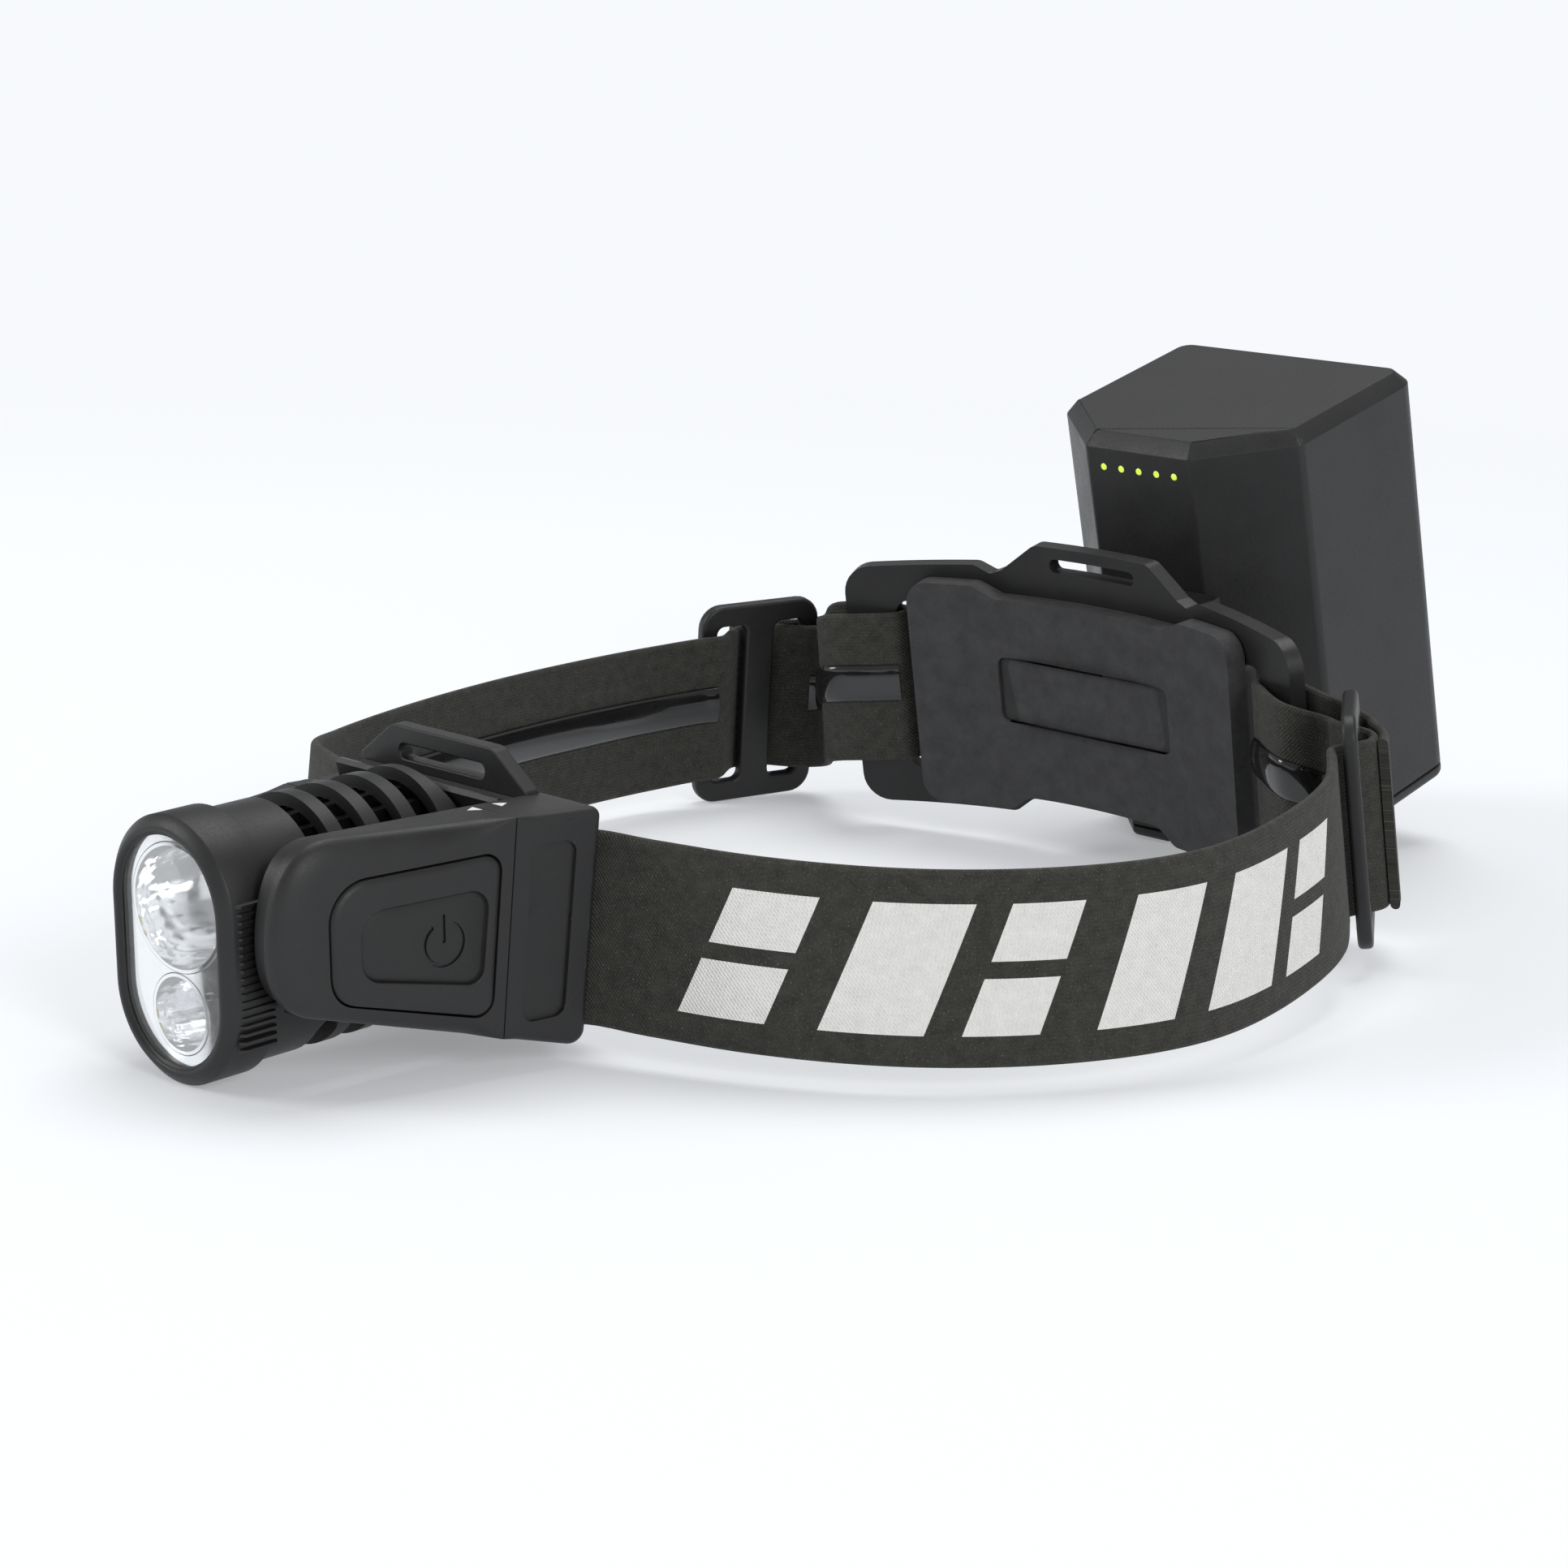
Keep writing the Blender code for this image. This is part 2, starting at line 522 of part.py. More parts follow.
def switch_parts(frame, paint):
    """The power button, its board and its dome, inside the near arm cover."""
    cover = bpy.data.objects["arm_cover_near"]
    base = ARM_INNER_X + ARM_WALL + GAP
    button_back = base + 3.4
    flange = 0.9
    pocket_top = button_back + 0.9 + 0.3
    shape_with(cover, prism(button_outline(flange + RUNNING), "x", base - 2.0, pocket_top))
    shape_with(cover, prism(button_outline(RUNNING), "x", base - 2.0, arm_outer("near", 0.0)))
    rings = [along("x", button_back, button_outline(flange)), along("x", button_back + 0.9, button_outline(flange)),
             along("x", button_back + 0.9, button_outline(0.0)),
             along("x", lambda y, z: arm_outer("near", y) + BUTTON_PROUD - 0.5, button_outline(0.0)),
             along("x", lambda y, z: arm_outer("near", y) + BUTTON_PROUD, button_outline(-0.8))]
    node("power_button", skin(rings), paint["rubber"], frame)
    board_z = (BUTTON_TOP_Z + BUTTON_FRONT_FOOT_Z) / 2 - 2.0
    board_y = (BUTTON_FRONT_Y + seam_y(board_z) - BUTTON_SEAM_MARGIN) / 2
    node("switch_board", box((base + GAP, board_y - 8.0, board_z - 7.0), (base + 1.3, board_y + 8.0, board_z + 7.0)),
         paint["board"], frame)
    dome = [(2.2, base + 1.6), (1.6, button_back - BUTTON_TRAVEL - 0.2)]
    node("switch_dome", turned(dome, "x", (board_y, board_z), 12), paint["steel"], frame)


def smooth_rows(rows, step=3.0):
    """A smooth curve through rows of values whose first two are x and y, with a point about every step."""
    rows = np.array(rows, dtype=float)
    chord = np.linalg.norm(np.diff(rows[:, :2], axis=0), axis=1)
    distance = np.concatenate([[0.0], np.cumsum(chord)])
    slope = np.gradient(rows, distance, axis=0)
    curve = []
    for i, length in enumerate(chord):
        pieces = max(1, math.ceil(length / step))
        for t in np.arange(pieces) / pieces:
            curve.append((2 * t ** 3 - 3 * t ** 2 + 1) * rows[i] + (t ** 3 - 2 * t ** 2 + t) * length * slope[i]
                         + (3 * t ** 2 - 2 * t ** 3) * rows[i + 1] + (t ** 3 - t ** 2) * length * slope[i + 1])
    curve.append(rows[-1])
    return np.array(curve)


def ribbon(rows, sign, outer, inner, low, high):
    """A band along rows of (x, y, foot z, lean x, lean y): outer and inner are offsets from its middle."""
    rows = np.array(rows)
    travel = np.gradient(rows[:, :2], axis=0)
    travel /= np.linalg.norm(travel, axis=1)[:, None]
    out = np.stack([sign * travel[:, 1], -sign * travel[:, 0]], axis=1)
    rise = math.cos(STRAP_LEAN)
    rings = []
    for (x, y, foot, lean_x, lean_y), (ox, oy) in zip(rows, out):
        ring = []
        for offset, level in ((outer, low), (outer, high), (inner, high), (inner, low)):
            share = level / STRAP_WIDTH
            ring.append((x + ox * offset + lean_x * share, y + oy * offset + lean_y * share, foot + level * rise))
        rings.append(ring)
    return skin(rings)


# Plan of the strap from the bracket to its slider: x on the side's own hand, y, and the height of its foot.
STRAP_RUN = {
    "near": [(STRAP_START_X, -92.5, 12.3), (STRAP_START_X + 3.9, -86.0, 12.0), (38.0, -81.5, 11.2),
             (52.0, -75.0, 10.2), (72.0, -60.0, 8.8), (86.0, -40.0, 7.6), (93.0, -14.0, 6.4),
             (90.5, 14.0, 6.8), (84.5, 33.0, 7.6)],
    "far": [(STRAP_START_X, -92.5, 12.3), (STRAP_START_X + 3.9, -86.0, 12.0), (38.0, -81.5, 11.4),
            (52.0, -74.0, 10.0), (68.0, -56.0, 6.4), (77.0, -32.0, 5.2), (82.0, -5.0, 4.6),
            (84.5, 20.0, 3.8), (85.0, 42.0, 3.0)],
}
# Each slider's middle, the direction that the strap takes through it, and the height of the strap's foot.
SLIDER_PLACE = {"near": ((71.2, 58.8), 124.0, 8.0), "far": ((81.5, 65.5), 108.0, 3.2)}


def slider_frame(label):
    """Unit vectors along the strap and out of it, and the inward lean of the strap, at a slider."""
    sign = SIDES[label]
    (x, y), heading, foot = SLIDER_PLACE[label]
    angle = math.radians(heading)
    ahead = np.array([sign * math.cos(angle), math.sin(angle)])
    out = np.array([sign * math.sin(angle), -math.cos(angle)])
    lean = -out * STRAP_WIDTH * math.sin(STRAP_LEAN)
    return np.array([sign * x, y]), ahead, out, lean, foot


def lug_point(sign, across, offset):
    """A point of the strap's path beside the plate's end, at the height of the strap's foot."""
    angle = across / PLATE_RADIUS
    radius = PLATE_RADIUS + offset
    foot = -STRAP_WIDTH / 2 - 0.2
    place = Vector((sign * radius * math.sin(angle), radius * math.cos(angle) - PLATE_RADIUS, foot))
    point = PLATE_CENTRE + Matrix.Rotation(PLATE_LEAN, 3, "X") @ place
    return [point.x, point.y, point.z, 0.0, -STRAP_WIDTH * math.sin(PLATE_LEAN)]


def strap_path(label):
    """The strap's whole way: bracket, slider, round the plate's lug and back to the slider's middle bar."""
    sign = SIDES[label]
    rows = []
    for x, y, foot in STRAP_RUN[label]:
        inward = -np.array([x, y]) / math.hypot(x, y) * STRAP_WIDTH * math.sin(STRAP_LEAN)
        rows.append([sign * x, y, foot, sign * inward[0], inward[1]])
    middle, ahead, out, lean, foot = slider_frame(label)
    clear = SLIDER_THICKNESS / 2 + STRAP_THICKNESS / 2 + 0.9
    slot_out = SLIDER_LENGTH / 2 - SLIDER_BAR
    slot_in = SLIDER_CENTRE_BAR / 2
    half_way = (slot_out + slot_in) / 2

    def at(u, n, rise=0.0):
        place = middle + ahead * u + out * n
        return [place[0], place[1], foot + rise, lean[0], lean[1]]

    rows += [at(-slot_out - 4.0, -clear), at(-slot_out, -clear), at(-half_way, 0.0), at(-slot_in, clear),
             at(slot_in, clear), at(half_way, 0.0), at(slot_out, -clear), at(slot_out + 1.5, -clear - 0.8)]
    beside = PLATE_THICKNESS / 2 + STRAP_THICKNESS / 2 + 0.5
    slack = 0.3 * PLATE_THICKNESS
    turn = LUG_SLOT_OUT - STRAP_THICKNESS / 2 - 0.8
    rows += [lug_point(sign, turn + 14.6, -beside - slack - GAP), lug_point(sign, turn + 4.0, -beside),
             lug_point(sign, turn + 0.9, -beside - 0.97), lug_point(sign, turn, 0.0),
             lug_point(sign, turn + 0.9, beside - 0.97), lug_point(sign, turn + 4.0, beside),
             lug_point(sign, turn + 13.0, beside + slack)]
    over = clear + STRAP_THICKNESS + 0.5
    rows += [at(SLIDER_LENGTH / 2, clear), at(slot_out, clear + 0.5), at(half_way, over - 0.6),
             at(slot_in, over), at(-slot_in, over)]
    return smooth_rows(rows)


def strap_parts(frame, paint, paths):
    for label, sign in SIDES.items():
        rows = paths[label]
        half = STRAP_THICKNESS / 2
        node(f"strap_{label}", ribbon(rows, sign, half, -half, 0.0, STRAP_WIDTH), paint["webbing"], frame)
        middle, ahead, out, lean, foot = slider_frame(label)
        inner = -half - GAP
        low = STRAP_WIDTH / 2 + 1.0 - STRIP_WIDTH / 2
        reach = (rows[:, :2] - middle) @ ahead
        slot_out = SLIDER_LENGTH / 2 - SLIDER_BAR
        first = np.argmax(rows[:, 1] > ARM_REAR_Y + 5.0)
        last = np.argmax(reach > -slot_out - 1.0)
        node(f"grip_strip_{label}", ribbon(rows[first:last], sign, inner, inner - STRIP_THICKNESS, low,
                                           low + STRIP_WIDTH), paint["strip"], frame)

        up = Vector((lean[0], lean[1], STRAP_WIDTH * math.cos(STRAP_LEAN))).normalized()
        forward = Vector((ahead[0], ahead[1], 0.0))
        outward = up.cross(forward) if sign < 0 else forward.cross(up)
        centre = Vector((middle[0], middle[1], foot)) + up * STRAP_WIDTH / 2
        turn = Matrix((forward, outward, up)).transposed().to_4x4()
        matrix = Matrix.Translation(centre * MM) @ turn
        thick = SLIDER_THICKNESS / 2
        plate = prism(rounded(SLIDER_LENGTH / 2, SLIDER_HEIGHT / 2, 4.5), "y", -thick, thick)
        slider = node(f"slider_{label}", plate, paint["shell"], frame, matrix)
        slot_half = (slot_out - SLIDER_CENTRE_BAR / 2) / 2
        slot_middle = (slot_out + SLIDER_CENTRE_BAR / 2) / 2
        for hand in (-1, 1):
            hole = rounded(slot_half, STRAP_WIDTH / 2 + 1.2, 1.5, (hand * slot_middle, 0.0))
            shape_with(slider, prism(hole, "y", -10.0, 10.0), parent=frame, matrix=matrix)


def bent_slab(inner, outer, low, high):
    """A curved wall round the head's axis, wide enough for any outline to be clipped from it."""
    reach = 0.47
    rings = []
    for i in range(17):
        angle = reach * (i / 8.0 - 1.0)
        ring = []
        for radius, level in ((inner, low), (outer, low), (outer, high), (inner, high)):
            ring.append((radius * math.sin(angle), radius * math.cos(angle) - PLATE_RADIUS, level))
        rings.append(ring)
    return skin(rings)


def mirrored(right):
    """An outline from its right half, listed from the bottom middle up to the top middle."""
    return right + [(-x, z) for x, z in reversed(right)]


def rear_plate(frame, paint):
    seat = make_empty("plate_seat", PLATE_CENTRE, PLATE_LEAN, frame)
    half = PLATE_THICKNESS / 2
    width, height = PLATE_HALF_WIDTH, PLATE_HALF_HEIGHT
    lug = 5.5
    corner_low = circle(lug, (width - lug, -height + lug), 4, -math.pi / 2, math.pi / 2)
    corner_high = circle(lug, (width - lug, height - 0.8 - lug), 4, 0.0, math.pi / 2)
    right = [(18.0, -height + 3.0), (22.0, -height)] + corner_low + corner_high
    right += [(27.0, height + 0.8), (23.5, height - 0.8), (21.0, height + 0.2), (13.5, height + 5.7)]
    plate = node("rear_plate", bent_slab(PLATE_RADIUS - half, PLATE_RADIUS + half, -40.0, 40.0), paint["shell"], seat)
    shape_with(plate, prism(mirrored(right), "y", -60.0, 60.0), "INTERSECT")
    slot_middle = (LUG_SLOT_IN + LUG_SLOT_OUT) / 2
    slot_half = (LUG_SLOT_OUT - LUG_SLOT_IN) / 2
    for sign in SIDES.values():
        hole = rounded(slot_half, STRAP_WIDTH / 2 + 2.0, 2.4, (sign * slot_middle, 0.0))
        shape_with(plate, prism(hole, "y", -60.0, 60.0))
    shape_with(plate, prism(rounded(10.0, 1.3, 1.2, (0.0, height + 2.2)), "y", -60.0, 60.0))

    pad_outer = PLATE_RADIUS - half - GAP
    edge = height - PAD_INSET
    right = [(16.0, -edge + 3.0), (20.5, -edge), (PAD_HALF_WIDTH - 3.0, -edge), (PAD_HALF_WIDTH, -edge + 3.0),
             (PAD_HALF_WIDTH, edge - 3.0), (PAD_HALF_WIDTH - 3.0, edge), (25.5, edge), (20.5, edge - 2.2)]
    pad = node("rear_pad", bent_slab(pad_outer - PAD_THICKNESS, pad_outer, -40.0, 40.0), paint["foam"], seat)
    shape_with(pad, prism(mirrored(right), "y", -60.0, 60.0), "INTERSECT")
    window = shape_with(pad, bent_slab(pad_outer - PAD_THICKNESS - 5.0, pad_outer - PAD_THICKNESS + 0.9,
                                       -4.2, 8.6))
    shape_with(window, prism([(-21.0, -30.0), (21.0, -30.0), (21.0, 30.0), (-21.0, 30.0)], "y", -60.0, 60.0),
               "INTERSECT")
    return seat


def pack_outline(inset, front_wall=0.0):
    """The battery pack's plan: a box whose two front corners are cut by large flats."""
    flat = PACK_FRONT_FLAT / 2
    half = PACK_WIDTH / 2
    front = -PACK_DEPTH / 2
    run = Vector((half - flat, PACK_CHAMFER_DEPTH)).normalized()
    normal = Vector((run.y, -run.x))
    offset = normal.dot(Vector((flat, front))) - inset
    side_x = half - inset
    front_v = front + max(inset, front_wall)
    side_v = (offset - normal.x * side_x) / normal.y
    flat_x = (offset - normal.y * front_v) / normal.x
    back_v = PACK_DEPTH / 2 - inset
    cut = 3.0
    right = [(flat_x, front_v), (side_x, side_v), (side_x, back_v - cut), (side_x - cut, back_v)]
    return right + [(-x, v) for x, v in reversed(right)]


def rail_outline(grow):
    """The dock's T rail: its neck starts inside the dock, its head sits in the pack's groove."""
    face = -PACK_DEPTH / 2
    neck = RAIL_NECK + grow
    head = RAIL_HEAD + grow
    step = face + RAIL_STEP - grow + 0.1
    tip = face + 2 * RAIL_STEP + grow
    root = face - 3.0
    return [(-neck, root), (neck, root), (neck, step), (head, step), (head, tip), (-head, tip), (-head, step),
            (-neck, step)]


def battery_pack(frame, paint):
    seat = make_empty("pack_seat", PACK_CENTRE, PACK_LEAN, frame)
    half = PACK_HEIGHT / 2
    front_wall = PACK_FRONT_WALL
    shoulder = -half + PACK_BASE + GAP
    rings = [along("z", shoulder, pack_outline(0.0)), along("z", half - PACK_EDGE, pack_outline(0.0)),
             along("z", half, pack_outline(PACK_EDGE))]
    body = node("battery_case", skin(rings), paint["shell"], seat)
    inside = pack_outline(PACK_WALL, front_wall)
    shape_with(body, prism(inside, "z", shoulder - 5.0, half - PACK_WALL - 0.5))
    groove = prism(rail_outline(RUNNING), "z", -half - 5.0, RAIL_HIGH + RUNNING)
    shape_with(body, groove)

    plug = PACK_WALL + GAP
    rings = [along("z", -half, pack_outline(PACK_EDGE)), along("z", -half + PACK_BASE, pack_outline(0.0)),
             along("z", -half + PACK_BASE, pack_outline(plug, front_wall + GAP)),
             along("z", -half + PACK_BASE + 2.5, pack_outline(plug, front_wall + GAP))]
    base = node("battery_base", skin(rings), paint["shell"], seat)
    shape_with(base, prism(rail_outline(RUNNING), "z", -half - 5.0, half))
    width, depth, height = PORT_SIZE
    port_v = -PACK_DEPTH / 2 + PORT_INSET
    middle = (0.0, port_v)
    shape_with(base, prism(rounded(width / 2 + GAP, depth / 2 + GAP, 1.5, middle), "z", -half - 5.0, half))
    mouth = -half + 0.6
    port = [along("z", mouth + height, rounded(width / 2, depth / 2, 1.4, middle)),
            along("z", mouth, rounded(width / 2, depth / 2, 1.4, middle)),
            along("z", mouth, rounded(width / 2 - 0.4, depth / 2 - 0.4, 1.0, middle)),
            along("z", mouth + height - 1.0, rounded(width / 2 - 0.4, depth / 2 - 0.4, 1.0, middle))]
    node("charge_port", skin(port), paint["steel"], seat)

    cell_v = -PACK_DEPTH / 2 + front_wall + CELL_RADIUS + CELL_GAP
    cell_low = -half + PACK_BASE + 4.2
    for i in range(4):
        centre = ((i % 2 - 0.5) * CELL_PITCH, cell_v + (i // 2) * CELL_PITCH)
        can = [(CELL_RADIUS, cell_low), (CELL_RADIUS, cell_low + CELL_LENGTH)]
        node(f"cell_{i + 1}", turned(can, "z", centre, 16), paint["cell"], seat)
    board_low = cell_low + CELL_LENGTH + 0.8
    node("pack_board", box((-20.0, -15.0, board_low), (20.0, 21.0, board_low + 1.2)), paint["board"], seat)

    face = -PACK_DEPTH / 2
    pipe_back = face + front_wall - 0.3
    for i in range(LED_COUNT):
        x = (i - (LED_COUNT - 1) / 2) * LED_PITCH
        shape_with(body, turned([(LED_RADIUS + 0.15, face - 2.0), (LED_RADIUS + 0.15, face + front_wall + 2.0)], "y",
                                (x, LED_HEIGHT), 10))
        node(f"indicator_{i + 1}", turned([(LED_RADIUS, face - 0.1), (LED_RADIUS, pipe_back)], "y",
                                          (x, LED_HEIGHT), 10), paint["indicator"], seat)
    node("indicator_board", box((-10.0, face + front_wall + 0.1, LED_HEIGHT - 0.6),
                                (10.0, face + front_wall + 1.1, LED_HEIGHT + 2.6)), paint["board"], seat)
    for label, sign in (("plus", 1), ("minus", -1)):
        centre = (sign * 9.4, RAIL_HIGH - 6.0)
        shape_with(body, turned([(1.9, face - 2.0), (1.9, face + 1.0)], "y", centre, 12))
        node(f"pack_contact_{label}", turned([(1.6, face), (1.6, face + 0.7)], "y", centre, 12), paint["gold"], seat)

    rail_tip = -PACK_DEPTH / 2 + 2 * RAIL_STEP
    reach = port_v - rail_tip - RUNNING
    hinge_w = -half - GAP - COVER_THICKNESS / 2
    hinge = make_empty("cover_hinge", (0.0, port_v + reach, hinge_w), parent=seat)
    flap = rounded(width / 2 + 3.0, reach, 2.0, (0.0, -reach))
    plate = prism(flap, "z", -COVER_THICKNESS / 2, COVER_THICKNESS / 2)
    node("port_cover", plate, paint["rubber"], hinge)
    return seat


def dock(frame, paint, plate_seat, pack_seat):
    """The block between the rear plate and the pack, with the T rail that the pack slides on."""
    to_frame = Matrix.Translation(PLATE_CENTRE) @ Matrix.Rotation(PLATE_LEAN, 4, "X")
    to_pack = (Matrix.Translation(PACK_CENTRE) @ Matrix.Rotation(PACK_LEAN, 4, "X")).inverted() @ to_frame
    front_n = PLATE_THICKNESS / 2 + GAP
    low, high = -18.0, 18.0
    bottom = to_pack @ Vector((0.0, front_n, low))
    top = to_pack @ Vector((0.0, front_n, high))
    face = -PACK_DEPTH / 2 - GAP
    outline = [(bottom.y, bottom.z), (face, bottom.z - 1.0), (face, top.z), (top.y, top.z)]
    block = node("battery_dock", prism(outline, "x", -DOCK_HALF_WIDTH, DOCK_HALF_WIDTH), paint["shell"], pack_seat)
    shape_with(block, prism(rail_outline(0.0), "z", RAIL_LOW + 6.0, RAIL_HIGH), "UNION")
    for i, (x, w) in enumerate(((-12.0, -12.0), (12.0, -12.0), (-12.0, 12.0), (12.0, 12.0))):
        radius = 1.4
        sag = PLATE_RADIUS - math.sqrt(PLATE_RADIUS ** 2 - x ** 2)
        start = -PLATE_THICKNESS / 2 - sag + 0.1
        hole = [(radius + GAP, start - 2.0), (radius + GAP, start + 10.0)]
        shape_with(block, turned(hole, "y", (x, w), 8), parent=plate_seat)
        shape_with(bpy.data.objects["rear_plate"], turned(hole, "y", (x, w), 8), parent=plate_seat)
        node(f"dock_screw_{i + 1}", turned([(radius, start), (radius, start + 9.5)], "y", (x, w), 8),
             paint["steel"], plate_seat)
    for label, sign in (("plus", 1), ("minus", -1)):
        centre = (sign * 9.4, RAIL_HIGH - 6.0)
        shape_with(block, turned([(1.2 + GAP, face - 5.0), (1.2 + GAP, face + 2.0)], "y", centre, 10))
        node(f"dock_pin_{label}", turned([(1.2, face - 4.6), (1.2, face + GAP - 0.2)], "y", centre, 10),
             paint["gold"], pack_seat)


def stand_on_plane(frame):
    """Tip the frame until the bezel and the pack's cover touch the plane, and put the box's foot centre at 0."""
    bezel_foot = (BEZEL_FRONT_Y + 1.4, HEAD_Z - HEAD_HALF_HEIGHT)
    bpy.context.view_layer.update()
    cover = bpy.data.objects["port_cover"]
    corners = [cover.matrix_world @ Vector(corner) / MM for corner in cover.bound_box]
    lowest = min(corners, key=lambda corner: corner.z)
    frame.rotation_euler[0] = math.atan2(bezel_foot[1] - lowest.z, lowest.y - bezel_foot[0])
    bpy.context.view_layer.update()
    graph = bpy.context.evaluated_depsgraph_get()
    points = []
    for item in bpy.context.scene.objects:
        if item.type == "MESH" and not item.hide_render:
            final = item.evaluated_get(graph)
            points += [final.matrix_world @ vertex.co for vertex in final.data.vertices]
    low = [min(point[axis] for point in points) for axis in range(3)]
    high = [max(point[axis] for point in points) for axis in range(3)]
    frame.location = (-(low[0] + high[0]) / 2, -(low[1] + high[1]) / 2, -low[2])


def main():
    clear_scene()
    paint = make_materials()
    frame = make_empty("frame", (0.0, 0.0, 0.0))
    paths = {label: strap_path(label) for label in SIDES}
    lamp_head(frame, paint)
    bracket(frame, paint, paths)
    strap_parts(frame, paint, paths)
    plate_seat = rear_plate(frame, paint)
    pack_seat = battery_pack(frame, paint)
    dock(frame, paint, plate_seat, pack_seat)
    stand_on_plane(frame)


main()
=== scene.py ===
# %% [markdown]
# # A headlamp, dressed piece by piece
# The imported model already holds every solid, where it sits and how it moves. This lesson gives the
# pieces that show their finished surfaces: finer outlines, rounded edges, webbing with a real weave,
# optics, and materials built from nodes. We start by loading the model as a fixed frame.

# %% Load the frame
import json
import math

import bpy
import numpy as np
from mathutils import Matrix, Vector


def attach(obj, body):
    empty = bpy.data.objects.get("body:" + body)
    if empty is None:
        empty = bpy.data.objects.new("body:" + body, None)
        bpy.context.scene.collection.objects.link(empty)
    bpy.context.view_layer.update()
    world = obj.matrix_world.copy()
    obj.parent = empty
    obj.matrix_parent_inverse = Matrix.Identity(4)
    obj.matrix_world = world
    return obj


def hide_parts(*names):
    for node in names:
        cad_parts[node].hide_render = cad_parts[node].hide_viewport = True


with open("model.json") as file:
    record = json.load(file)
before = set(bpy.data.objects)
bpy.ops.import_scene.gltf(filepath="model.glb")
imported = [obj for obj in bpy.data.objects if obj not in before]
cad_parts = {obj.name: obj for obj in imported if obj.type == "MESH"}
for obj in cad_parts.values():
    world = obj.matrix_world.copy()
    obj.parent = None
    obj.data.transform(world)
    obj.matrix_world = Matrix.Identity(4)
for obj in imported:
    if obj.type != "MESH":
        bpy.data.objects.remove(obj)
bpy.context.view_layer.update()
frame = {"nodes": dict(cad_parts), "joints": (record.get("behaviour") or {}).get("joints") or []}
MM = 0.001

# %% [markdown]
# ## One frame for all sizes
# The headlamp leans a little, because it stands on its bezel and on its battery pack. It is easier to
# think in the lamp's own frame, where the beam is level: millimetres, X to the button side, Y to the
# back, Z up. The joints say where that frame lies: the tilt joint's place and the pack's sliding axis
# are known in both frames, so the turn and the shift follow from them.

# %% The lamp's own frame
joints = {joint["name"]: joint for joint in frame["joints"]}
PIVOT = np.array([0.0, -127.5, 35.0])
PACK_LEAN = math.radians(12.4)
slide = joints["pack_slide"]["axis"]
PITCH = math.atan2(-slide[1], slide[2]) - PACK_LEAN


def turn_x(angle):
    """A turn about X that lifts +Y towards +Z as the angle grows."""
    c, s = math.cos(angle), math.sin(angle)
    return np.array([[1.0, 0.0, 0.0], [0.0, c, -s], [0.0, s, c]])


FRAME_TURN = turn_x(PITCH)
FRAME_SHIFT = np.array(joints["lamp_tilt"]["pos_m"]) - FRAME_TURN @ PIVOT * MM


def place(points):
    """Lamp-frame millimetres to scene metres: turn, scale, shift."""
    return np.asarray(points, float) @ FRAME_TURN.T * MM + FRAME_SHIFT


def seated(points, centre, lean):
    """Points given about a seat that leans by an angle about X, in the lamp's frame."""
    return np.asarray(points, float) @ turn_x(lean).T + np.asarray(centre, float)


print("pitch in degrees:", round(math.degrees(PITCH), 3))

# %% [markdown]
# ## Skins from rings
# Nearly every part here is a loft: rings of points, each a copy of an outline, joined by four-sided
# faces. One function turns an array of rings into a mesh and checks by its signed volume that the
# faces point outwards.

# %% Build meshes from arrays
def signed_volume(points, faces):
    """Sum of the tetrahedra from the origin to each face, fanned from its first corner."""
    total = 0.0
    quads = faces[:, [0, 1, 2]], faces[:, [0, 2, 3]]
    for corners in quads:
        a, b, c = points[corners[:, 0]], points[corners[:, 1]], points[corners[:, 2]]
        total += np.einsum("ij,ij->i", a, np.cross(b, c)).sum()
    return total / 6.0


def new_object(name, mesh, body, material):
    made = bpy.data.objects.new(name, mesh)
    bpy.context.scene.collection.objects.link(made)
    if material is not None:
        mesh.materials.append(material)
    if body is not None:
        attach(made, body)
    return made


def loft(name, rings, body=None, material=None, loop=False, uv=None, sharp=40.0, to_scene=place):
    """Skin an array of rings (ring, point, xyz): quads between rings, and a cap at each end unless looped.

    uv is an array (ring, point, 2) that is copied to every corner of the mesh.
    """
    rings = np.asarray(rings, float)
    count, size = rings.shape[:2]
    i = np.arange(count if loop else count - 1)[:, None]
    j = np.arange(size)[None, :]
    here, there = i * size, ((i + 1) % count) * size
    quads = np.stack([here + j, here + (j + 1) % size, there + (j + 1) % size, there + j], -1).reshape(-1, 4)
    points = rings.reshape(-1, 3)
    closed = quads
    ends = []
    if not loop:
        first = np.arange(size)[::-1]
        last = np.arange(size) + (count - 1) * size
        ends = [first, last]
        fans = [np.stack([np.full(size - 2, e[0]), e[1:-1], e[2:], e[2:]], -1) for e in ends]
        closed = np.concatenate([quads] + fans)
    if signed_volume(points - points.mean(0), closed) < 0:
        quads = quads[:, ::-1]
        ends = [e[::-1] for e in ends]
    mesh = bpy.data.meshes.new(name)
    mesh.from_pydata(to_scene(points), [], quads.tolist() + [e.tolist() for e in ends])
    if uv is not None:
        layer = mesh.uv_layers.new(name="surface")
        corner = np.empty(len(mesh.loops), np.int32)
        mesh.loops.foreach_get("vertex_index", corner)
        layer.data.foreach_set("uv", np.asarray(uv, np.float32).reshape(-1, 2)[corner].ravel())
    mesh.shade_smooth()
    if sharp:
        mesh.set_sharp_from_angle(angle=math.radians(sharp))
    return new_object(name, mesh, body, material)


def arc(centre, radius, start, stop, steps):
    """Points on a circle between two angles in degrees."""
    angle = np.radians(np.linspace(start, stop, steps))
    return np.stack([centre[0] + radius * np.cos(angle), centre[1] + radius * np.sin(angle)], -1)


